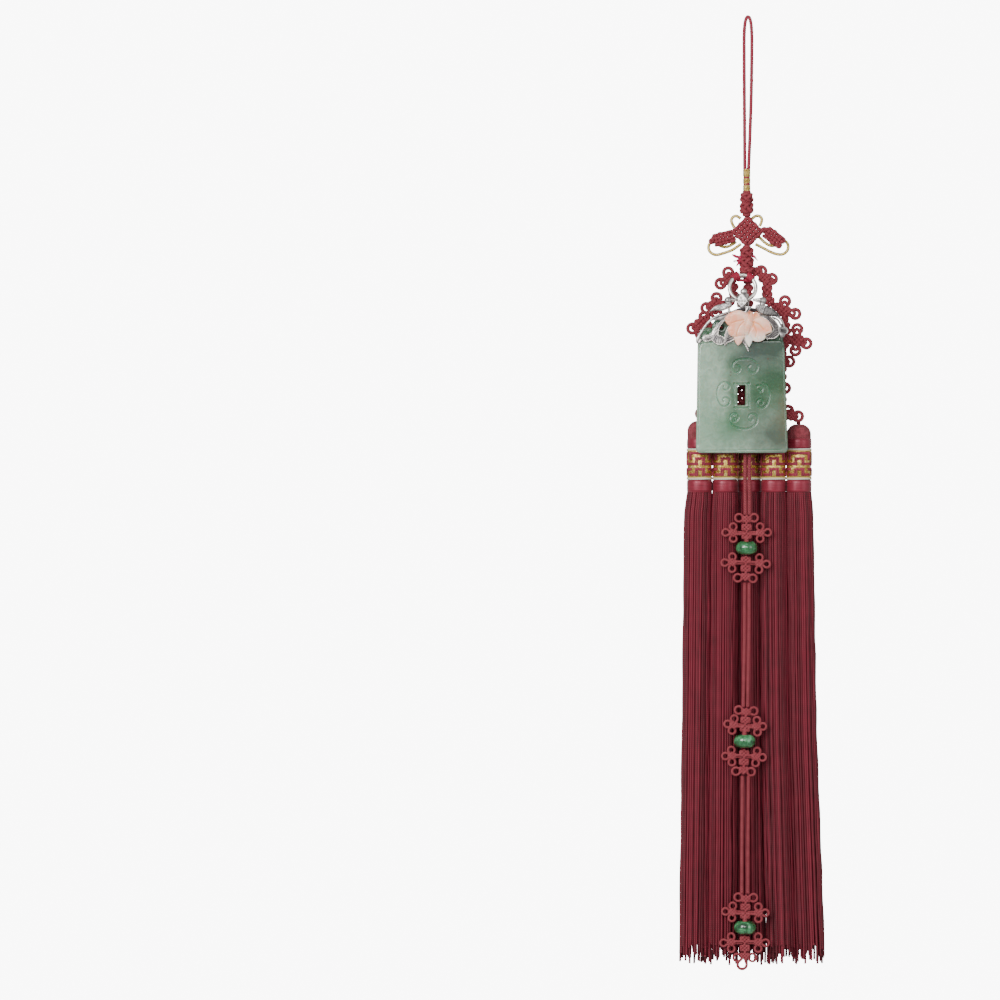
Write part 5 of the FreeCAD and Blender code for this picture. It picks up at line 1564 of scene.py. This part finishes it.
def drilled_cube():
    """A cube with its corners cut to the middles of the edges, softened, and drilled for the ring."""
    cut = bmesh.new()
    for axis in range(3):
        for a in (-1, 1):
            for b in (-1, 1):
                signs = [a, b]
                signs.insert(axis, 0)
                corner = turned([[m + s * h for m, s, h in zip(CUBE_MIDDLE, signs, CUBE_HALF)]])[0]
                cut.verts.new(corner * MM)
    bmesh.ops.convex_hull(cut, input=cut.verts)
    bmesh.ops.dissolve_limit(cut, angle_limit=0.02, verts=cut.verts, edges=cut.edges)
    bmesh.ops.bevel(cut, geom=list(cut.edges), offset=CUBE_BEVEL * MM, segments=2, affect="EDGES")
    bmesh.ops.recalc_face_normals(cut, faces=cut.faces)
    mesh = bpy.data.meshes.new("drilled_cube")
    cut.to_mesh(mesh)
    cut.free()
    cube = bpy.data.objects.new("drilled_cube", mesh)
    bpy.context.scene.collection.objects.link(cube)
    drill_line = even([(CUBE_MIDDLE[0] - 4, PIVOT_Y, PIVOT_Z), (CUBE_MIDDLE[0] + 4, PIVOT_Y, PIVOT_Z)], 2.0)
    drill = piece("drill", [tube(drill_line, BORE_RADIUS, 32)])
    hole = cube.modifiers.new("hole", "BOOLEAN")
    hole.operation = "DIFFERENCE"
    hole.solver = "EXACT"
    hole.object = drill
    bored = bpy.data.meshes.new_from_object(cube.evaluated_get(bpy.context.evaluated_depsgraph_get()))
    bpy.data.objects.remove(drill)
    cube.modifiers.clear()
    cube.data = bored
    bored.shade_smooth()
    bored.set_sharp_from_angle(angle=math.radians(25))
    tone_layer = bored.attributes.get("tone") or bored.attributes.new("tone", "FLOAT", "POINT")
    spots = np.array([tuple(vertex.co) for vertex in bored.vertices])
    swing = math.radians(CUBE_TURN)
    ahead = (spots[:, 0] - CUBE_MIDDLE[0] * MM) * math.sin(swing) - (spots[:,
                                                                           1] - CUBE_MIDDLE[1] * MM) * math.cos(swing)
    # painted shade: the front face gets tone 0.95 and the other faces 0.42, so the sides are darker
    tone_layer.data.foreach_set("value", np.where(ahead > (CUBE_HALF[1] - 0.2) * MM, 0.95, 0.42))
    bored.materials.append(old_silver)
    return cube


def ball(x, y, z, reach, columns=32, tall=1.0):
    return lathe(x, y, [(reach * math.cos(bend) + 0.001, z + reach * tall * math.sin(bend))
                        for bend in np.radians(np.linspace(89, -89, columns // 2))], columns)


def wire_ring(x, y, z, reach, wire, tone=0.8):
    turn = np.linspace(0, 2 * math.pi, 24, endpoint=False)
    line = np.column_stack([x + reach * np.cos(turn), np.full(24, y), z + reach * np.sin(turn)])
    return tube(line, wire, 8, closed=True, tone=tone)


def tinted(part, tone):
    return part[:3] + (np.full(len(part[0]), tone),) + part[4:]


def veined(lines, width, depth, dome=0.35, reach=1.5, dark=0.55, base=0.33):
    """A plate with a raised edge sunk behind it and veins engraved along lines."""
    def carve(spots, from_edge):
        lift = dome * np.sqrt(1 - (1 - np.clip(from_edge / reach, 0, 1)) ** 2)
        tone = np.full(len(spots), base) + 0.35 * (1 - np.clip(from_edge / 0.5, 0, 1))
        for line in lines:
            groove = np.exp(-(gap_to(spots, np.asarray(line, float)) / width) ** 2)
            lift, tone = lift - depth * groove, tone - dark * groove
        return lift, tone
    return carve


def rays(middle, inner, outer, first, last, count):
    """Straight veins that spread from a middle between two angles."""
    lines = []
    for angle in np.radians(np.linspace(first, last, count)):
        way = np.array([math.cos(angle), math.sin(angle)])
        lines.append(np.array([np.array(middle) + way * inner, np.array(middle) + way * outer]))
    return lines


def feathers(root, tip, pitch, breast, tone=0.62):
    """Lengthwise feather lines on a bird's wing and short scales on its breast."""
    root, tip = np.array(root, float), np.array(tip, float)
    along = (tip - root) / np.linalg.norm(tip - root)
    across = np.array([-along[1], along[0]])

    def carve(spots, from_edge):
        p, q = (spots - root) @ along, (spots - root) @ across
        dome = 0.55 * np.sqrt(1 - (1 - np.clip(from_edge / 1.1, 0, 1)) ** 2)
        bow = q + 0.02 * (p - 5) ** 2
        feather = np.abs(((bow / pitch) % 1) - 0.5) * pitch
        scale = np.abs((((p + 0.4 * np.abs(np.sin(math.pi * q / 1.1))) / 0.8) % 1) - 0.5) * 0.8
        wing = np.clip((p - breast) / 0.3, 0, 1)
        cut = wing * np.exp(-(feather / 0.1) ** 2) + (1 - wing) * 0.8 * np.exp(-(scale / 0.1) ** 2)
        cut = np.maximum(cut, np.exp(-((p - breast) / 0.14) ** 2))
        cut = np.maximum(cut, wing * np.exp(-((from_edge - 0.42) / 0.1) ** 2))
        lift = dome - 0.08 * cut
        shade = tone - 0.42 * cut + 0.22 * (1 - np.clip(from_edge / 0.3, 0, 1))
        return lift, shade
    return carve


BIRD_LEFT = [
    (-7.9, -129.2), (-10.7, -128.4), (-12.6, -128.9), (-15.4, -129.8),
    (-17.9, -132.7), (-15.8, -131.7), (-12.5, -131.9), (-9.8, -131.0),
]
BIRD_RIGHT = [
    (3.2, -131.2), (2.9, -129.8), (4.2, -128.8), (10.2, -130.6),
    (13.8, -134.1), (10.0, -134.2), (6.6, -133.8), (4.5, -132.7),
]
BAR = [
    (-10.8, -133.6), (-6.8, -131.4), (-2.5, -130.0), (5.0, -131.2),
    (11.6, -134.2), (4.5, -132.9), (-1.0, -131.9), (-6.5, -132.6),
]
BLADE_LEFT = [
    (-8.8, -132.4), (-12.5, -133.9), (-16.8, -135.8), (-13.0, -135.9),
    (-9.6, -134.8), (-8.4, -133.6),
]
LEAF_LEFT = [
    (-5.2, -133.2), (-11.8, -136.1), (-16.2, -140.7), (-16.4, -144.9),
    (-13.0, -146.9), (-11.3, -146.2), (-10.7, -144.9), (-11.9, -143.4),
    (-13.8, -143.0), (-13.4, -139.5), (-5.2, -135.2), (-4.9, -134.2),
]
CLUB_LEFT = [
    (-16.0, -141.5), (-17.6, -142.6), (-19.8, -142.8), (-20.8, -144.2),
    (-19.6, -145.4), (-17.8, -145.2), (-15.9, -144.1), (-15.8, -142.8),
]
LEAF_LOW = [
    (-7.2, -137.2), (-10.5, -141.5), (-10.7, -145.8), (-11.0, -146.8), (-10.4, -147.2),
    (-10.0, -146.3), (-8.9, -145.8), (-7.3, -145.0), (-5.0, -142.8), (-4.6, -140.0),
]
LEAF_CENTRE = [
    (-4.0, -142.6), (-2.4, -146.2), (-0.6, -149.8), (-0.3, -150.0),
    (0.0, -149.6), (-0.3, -147.0), (0.8, -142.9), (-1.5, -142.0),
]
LEAF_RIGHT = [
    (4.5, -132.8), (10.6, -135.1), (13.8, -139.7), (12.6, -143.3),
    (9.2, -144.2), (7.9, -143.9), (7.2, -143.0), (9.4, -142.2),
    (11.0, -140.0), (9.2, -136.9), (4.5, -134.0), (4.2, -133.4),
]
CLUB_RIGHT = [
    (13.4, -139.0), (14.9, -139.5), (16.3, -139.4), (17.4, -140.6),
    (16.0, -142.1), (14.7, -141.8), (13.4, -140.9), (13.2, -140.0),
]
LEFT_ARM_VEINS = [on_sheet(pairs) for pairs in (
    [(292, 270), (276, 283), (262, 300)], [(286, 266), (268, 282), (257, 303)], [(268, 303), (256, 320)],
    [(266, 318), (256, 336)], [(270, 320), (262, 341)], [(273, 322), (273, 345)], [(276, 322), (281, 346)],
    [(280, 322), (290, 344)], [(284, 324), (295, 338)],
)]
CLUB_LEFT_VEINS = [on_sheet(pairs)
                   for pairs in ([(222, 325), (243, 322)], [(222, 329), (243, 328)], [(222, 333), (242, 332)])]
CLUB_RIGHT_VEINS = [on_sheet(pairs)
                    for pairs in ([(505, 297), (520, 293)], [(505, 300), (522, 299)], [(506, 303), (520, 305)])]
LOW_VEINS = [on_sheet(pairs)
             for pairs in ([(306, 330), (330, 318)], [(304, 338), (326, 330)], [(310, 322), (322, 300)])]
BLADE_VEIN = [on_sheet([(306, 236), (280, 246), (250, 256)])]

# the last value of veined() is a base tone: the right leaf and club get 0.2 and 0.18, the left ones 0.33, as painted
# shade
leaf_plates = [
    (LEAF_LEFT, veined(LEFT_ARM_VEINS, 0.12, 0.08, dark=0.3)),
    (CLUB_LEFT, veined(CLUB_LEFT_VEINS, 0.12, 0.08, dark=0.3)),
    (LEAF_LOW, veined(LOW_VEINS, 0.12, 0.06, 0.12, 1.5, 0.3, 0.22)),
    (LEAF_CENTRE, veined([on_sheet([(366, 345), (381, 368)])], 0.25, 0.3, 0.3, 0.9)),
    (LEAF_RIGHT, veined(rays((6.3, -139.5), 3.9, 7.4, -78, 62, 22), 0.11, 0.08, 0.2, 1.5, 0.25, 0.2)),
    (CLUB_RIGHT, veined(CLUB_RIGHT_VEINS, 0.12, 0.1, 0.3, 1.0, 0.3, 0.18)),
    (BLADE_LEFT, veined(BLADE_VEIN, 0.28, 0.3, 0.3, 0.8, 0.4, 0.3)),
]
mount_parts = [carved(arcs(outline), 0.17, LEAF_FRONT, LEAF_BACK, carve) for outline, carve in leaf_plates]
HUB = (-1.0, -138.0, 6.0)
LOBE = (15.0, -142.4, 1.3)
hub = round_outline(*HUB, 40)
mount_parts += [
    carved(hub, 0.8, LEAF_FRONT - 0.05, LEAF_BACK, veined([], 0.1, 0.1, 0.1)),
    carved(arcs(BAR), 0.4, -9.3, -7.7, veined([], 0.1, 0.1, 0.35, 0.8, base=0.0)),
    # the right bird's tone, 0.36 against the left's 0.85, is painted shade
    carved(arcs(BIRD_LEFT), 0.14, BIRD_FRONT, BIRD_BACK, feathers((-8.0, -129.6), (-17.9, -132.7), 0.52, 2.4, 0.85)),
    carved(arcs(BIRD_RIGHT), 0.14, BIRD_FRONT, BIRD_BACK, feathers((3.0, -130.0), (13.8, -134.1), 0.46, 4.2, 0.36)),
]
lobe = round_outline(*LOBE, 24)
mount_parts.append(carved(lobe, 0.3, -9.4, -8.9, veined([], 0.1, 0.1, 0.4, 1.2)))

mount_parts += [
    tinted(ball(*BALL_MIDDLE, 1.6), 0.8),
    tinted(lathe(BALL_MIDDLE[0] - 0.2, BALL_MIDDLE[1], [(0.9, -124.0), (1.3, -124.2), (1.35, -124.5), (0.9, -124.9)],
                 24), 0.5),
]
cube_front = CUBE_MIDDLE[1] - CUBE_HALF[1]
for across, up in STAMPS:
    for stamp in (wire_ring(CUBE_MIDDLE[0] + across, cube_front - 0.02, CUBE_MIDDLE[2] + up, 0.42, 0.13, 0.6),
                  tinted(ball(CUBE_MIDDLE[0] + across, cube_front + 0.1, CUBE_MIDDLE[2] + up, 0.24, 12), 0.75)):
        mount_parts.append((turned(stamp[0]),) + stamp[1:])
mount_parts += [
    tube(even([(-2.5, -6.4, -129.2), (-2.5, -8.5, -131.2)], 0.5), 1.2, 16, tone=0.4),
    tube(even([(-9.0, -9.2, -130.2), (-8.9, -9.2, -132.6)], 0.5), 0.6, 12, tone=0.5),
]
HEAD_Y = -9.2
HEAD_RADIUS = 1.7
EYE_Y = -10.83
BILL_LEVEL = -126.75
# the last value is a tone, lower for the right head: painted shade
for side, head_x, head_z, eye_x, eye_z, tip_x, tone in ((1, -9.3, -127.1, -9.2, -127.3, -5.2, 1.0),
                                                        (-1, 6.2, -127.3, 5.7, -127.2, 1.9, 0.7)):
    mount_parts.append(tinted(ball(head_x, HEAD_Y, head_z, HEAD_RADIUS), tone))
    mount_parts.append(wire_ring(eye_x, EYE_Y, eye_z, 0.48, 0.12, tone))
    mount_parts.append(tinted(ball(eye_x, -10.72, eye_z, 0.28, 12), tone - 0.3))
    reach = tip_x - head_x
    for lift, drop, thick in ((0.3, 0.25, 0.85), (-0.6, -0.75, 0.55)):
        bill = through([(head_x + side * 0.9, -9.3), (head_x + reach * 0.5, -9.1), (tip_x, -8.5)])
        heights = np.interp(bill[:, 0] if side > 0 else -bill[:, 0], sorted([side * head_x, side * tip_x]),
                            [head_z + lift, BILL_LEVEL + drop * 0.4])
        bill_line = np.column_stack([bill[:, 0], bill[:, 1], heights])
        mount_parts.append(tube(bill_line, np.linspace(thick + 0.2, thick * 0.5, len(bill_line)), 12,
                                tone=tone - 0.12))
    mount_parts.append(tube(even([(head_x, -9.4, head_z - 0.9), (head_x + side * 0.4, -9.3, head_z - 2.4)], 0.3),
                            1.25, 14, tone=tone - 0.3))

STEM_LEFT = [
    (-8.0, -132.0), (-12.2, -133.5), (-16.4, -135.1), (-19.4, -138.2), (-21.8, -142.0),
    (-23.4, -145.0), (-22.6, -146.6), (-21.6, -144.6),
]
STEM_RIGHT = [(10.4, -133.5), (13.2, -134.4), (15.0, -136.3), (16.0, -139.6)]
STEM_RIGHT_INNER = [(10.4, -134.6), (12.6, -135.4), (14.0, -137.2), (14.9, -139.6)]
left_stem = even(nurbs_line([(x, STEM_Y, z) for x, z in STEM_LEFT]), 0.3)
# the left stem gets tone 0.85 and the right ones 0.4 and 0.3: painted shade on the right
mount_parts += [
    tube(left_stem, np.interp(np.linspace(0, 1, len(left_stem)), [0, 0.15, 0.6, 0.85, 1],
                              [0.35, 0.6, 0.62, 0.75, 0.5]), 16, tone=0.85),
    tube(even(nurbs_line([(x, STEM_Y, z) for x, z in STEM_RIGHT]), 0.3), 0.5, 14, tone=0.4),
    tube(even(nurbs_line([(x, STEM_Y + 0.2, z) for x, z in STEM_RIGHT_INNER]), 0.3), 0.45, 14, tone=0.3),
]
prong = np.array([(-1.6, -129.9), (-1.6, -131.2), (0.4, -131.2), (0.4, -129.9)])
mount_parts.append(carved(prong, 0.5, -12.9, -8.3, veined([], 0.1, 0.1, 0.08, 0.4, base=0.1)))
prong_tip = on_sheet([(379, 212), (372, 226), (371, 233), (375, 235), (384, 227), (391, 219)])
mount_parts.append(carved(prong_tip, 0.3, -13.3, -12.9,
                          veined([on_sheet([(384, 219), (375, 231)])], 0.2, 0.1, 0.15, 0.5, base=0.25)))
mount_body = piece("mount_body", mount_parts, old_silver, sharp=45)

# Rims: two silver wires twisted together and soldered along the edges of the leaves.

RIM_WIRE = 0.25
rims = []
for outline in (LEAF_LEFT, CLUB_LEFT, LEAF_LOW, LEAF_RIGHT):
    ring = arcs(outline)
    rims.append(np.column_stack([ring[:, 0], np.full(len(ring), LEAF_FRONT - 0.05), ring[:, 1]]))
bright_rims = laid("leaf_rims", rims, RIM_WIRE, ring_silver, sides=8, plies=2, ply_depth=0.28, turns=800, step=0.16,
                   closed=True)
tip = [on_sheet(pairs)
       for pairs in ([(447, 318), (450, 326), (455, 335)], [(362, 340), (372, 352), (378, 362), (383, 375)],
                                     [(296, 345), (297, 356)])]
tips = laid("leaf_tips",
            [np.column_stack([line[:, 0], np.full(len(line), LEAF_FRONT - 0.15), line[:, 1]]) for line in tip],
            0.38, old_silver, sides=8, plies=2, ply_depth=0.28, turns=500, step=0.16)
club_ring = arcs(CLUB_RIGHT)
club_rim = piece("club_rim",
                 [tube(even(np.column_stack([club_ring[:, 0], np.full(len(club_ring), LEAF_FRONT - 0.1),
                                             club_ring[:, 1]]),
                                        0.3, closed=True), 0.32, 10, closed=True, tone=0.7)], old_silver)
mount = joined("silver_mount_cast", mount_body, drilled_cube(), bright_rims, tips, club_rim)
dress(mount, "pendant", "silver", "silver_mount")

# Coral butterfly: carved from one pale piece of coral, polished, and held by the prong over its neck.
# Veins and eye spots are cut into the wings; the deeper the cut, the more orange the painted shade in it.

CORAL_FRONT = -11.6
CORAL_BACK = -10.1
WINGS_LEFT = on_sheet([(384, 245), (372, 234), (358, 227), (345, 225), (328, 228), (310, 238), (298, 250), (297, 260),
                       (300, 270),
                       (307, 279), (313, 283), (308, 288), (306, 297), (309, 310), (318, 319), (332, 324), (346, 322),
                       (362, 318), (376, 306)])
WINGS_RIGHT = on_sheet([(392, 256), (404, 250), (425, 248), (442, 254), (457, 266), (466, 282), (470, 303),
                        (461, 309),
                        (446, 316), (447, 325), (440, 334), (424, 341), (406, 340), (396, 331), (388, 318),
                        (384, 300), (386, 276)])
TAIL_LEFT = on_sheet([(330, 322), (332, 336), (338, 348), (345, 355), (354, 348), (361, 336), (368, 318), (350, 314)])
TAIL_RIGHT = on_sheet([(369, 316), (370, 330), (375, 345), (386, 361), (390, 354), (394, 348), (396, 341), (400, 334),
                       (396, 326), (388, 312)])
WING_CUTS = [on_sheet(pairs) for pairs in (
    [(320, 274), (338, 266), (366, 260)], [(366, 268), (352, 282), (343, 300), (338, 320)],
    [(400, 270), (416, 273), (428, 283), (440, 297)], [(402, 280), (409, 294), (412, 306), (409, 324)],
    [(386, 250), (376, 262), (370, 280)], [(402, 252), (404, 268), (396, 290), (386, 304)],
)]
EYE_SPOTS = [on_sheet([(308, 257)])[0], on_sheet([(321, 308)])[0], on_sheet([(453, 293)])[0],
             on_sheet([(424, 328)])[0]]
EYE_REACH = 1.0


def cut_wing(spots, from_edge):
    lift = 0.6 * np.sqrt(1 - (1 - np.clip(from_edge / 2.4, 0, 1)) ** 2)
    # the tone drops in the cut veins and eye rings; the coral material turns this into painted shade
    tone = np.full(len(spots), 0.75)
    for line in WING_CUTS:
        gap = gap_to(spots, through(line))
        lift = lift - 0.28 * np.exp(-(gap / 0.26) ** 2)
        tone = tone - 0.55 * np.exp(-(gap / 0.32) ** 2)
    for eye in EYE_SPOTS:
        gap = np.abs(np.linalg.norm(spots - eye, axis=1) - EYE_REACH)
        lift = lift - 0.16 * np.exp(-(gap / 0.16) ** 2)
        tone = tone - 0.34 * np.exp(-(gap / 0.18) ** 2)
    return lift, tone


def coral_stone():
    material, tree = plain_material("coral_stone")
    spot = add(tree, "TexCoord").node.outputs["Object"]
    split = add(tree, "SeparateXYZ", {0: spot}).node
    cloud = add(tree, "TexNoise", {"Vector": spot, "Scale": 170.0, "Detail": 3.0, "Distortion": 0.8})
    colour = colour_ramp(tree, cloud, [(0.40, (1.0, 0.60, 0.45)), (0.62, (1.0, 0.38, 0.22))])
    low = add(tree, "MapRange", {"Value": split.outputs[2], "From Min": -0.1405, "From Max": -0.1450})
    right = add(tree, "MapRange",
                {"Value": split.outputs[0], "From Min": -0.0040, "From Max": -0.0010, "To Min": 0.25})
    low = calc(tree, "MULTIPLY", low, right)
    colour = blend_colours(tree, low, colour, (0.95, 0.84, 0.74, 1))
    tone = add(tree, "Attribute", attribute_name="tone").node.outputs["Fac"]
    # painted shade: the lower the tone, in the cuts, the more the colour goes to deep orange
    cut = add(tree, "MapRange", {"Value": tone, "From Min": 0.68, "From Max": 0.15})
    colour = blend_colours(tree, cut, colour, (0.86, 0.30, 0.10, 1))
    finish(tree, colour, cloud, depth=0.00002, Roughness=0.3, Subsurface_Weight=0.3, Subsurface_Scale=0.002,
           Coat_Weight=0.3, Coat_Roughness=0.1)
    return material


coral_parts = [carved(through(outline, closed=True, per=4), 0.28, CORAL_FRONT, CORAL_BACK, cut_wing)
               for outline in (WINGS_LEFT, WINGS_RIGHT)]
coral_parts += [carved(through(outline, closed=True, per=4), 0.3, CORAL_FRONT + 0.35, CORAL_BACK, cut_wing)
                for outline in (TAIL_LEFT, TAIL_RIGHT)]
body_line = even(through([(1.2, -11.2, -132.4), (0.75, -11.5, -134.2), (0.1, -11.5, -136.2), (-0.7, -11.5, -138.8),
                          (-1.2, -11.3, -141.2), (-1.1, -11.1, -143.6)]), 0.2)
share = np.linspace(0, 1, len(body_line))
body_reach = np.interp(share, [0, 0.05, 0.18, 0.36, 0.55, 0.8, 1], [0.35, 0.7, 1.15, 1.85, 1.7, 1.35, 0.6])
rings_cut = (np.abs(np.sin(math.pi * share * 11)) ** 0.5 - 1) * (share > 0.38)
collar_cut = -np.exp(-((share - 0.36) / 0.02) ** 2)
body_tube = tube(body_line, body_reach + 0.15 * rings_cut + 0.2 * collar_cut, 32, flat=0.85)
# the tone drops in the body's ring grooves and collar, for painted shade
body_tone = 0.74 + 0.35 * np.repeat(np.pad(rings_cut + collar_cut, 1), 32)
coral_parts.append(body_tube[:3] + (np.append(body_tone, [0.74, 0.74]),))


def cut_curl(spots, from_edge):
    """A curled feeler: a rolled edge round a hollow."""
    hollow = np.clip((from_edge - 0.35) / 0.6, 0, 1)
    # the tone drops in the hollow, for painted shade
    return 0.5 * np.sqrt(1 - (1 - np.clip(from_edge / 0.35, 0, 1)) ** 2) - 0.75 * hollow, 0.74 - 0.45 * hollow


for curl in (on_sheet([(383, 243), (377, 237), (377, 230), (384, 226), (391, 228), (395, 236), (396, 244)]),
             on_sheet([(399, 258), (399, 244), (404, 234), (412, 231), (420, 236), (426, 248), (414, 252)])):
    coral_parts.append(carved(through(curl, closed=True, per=4), 0.2, CORAL_FRONT - 0.1, CORAL_BACK, cut_curl))
butterfly = piece("coral_butterfly", coral_parts, coral_stone(), sharp=60)
dress(butterfly, "pendant", "coral", "butterfly")
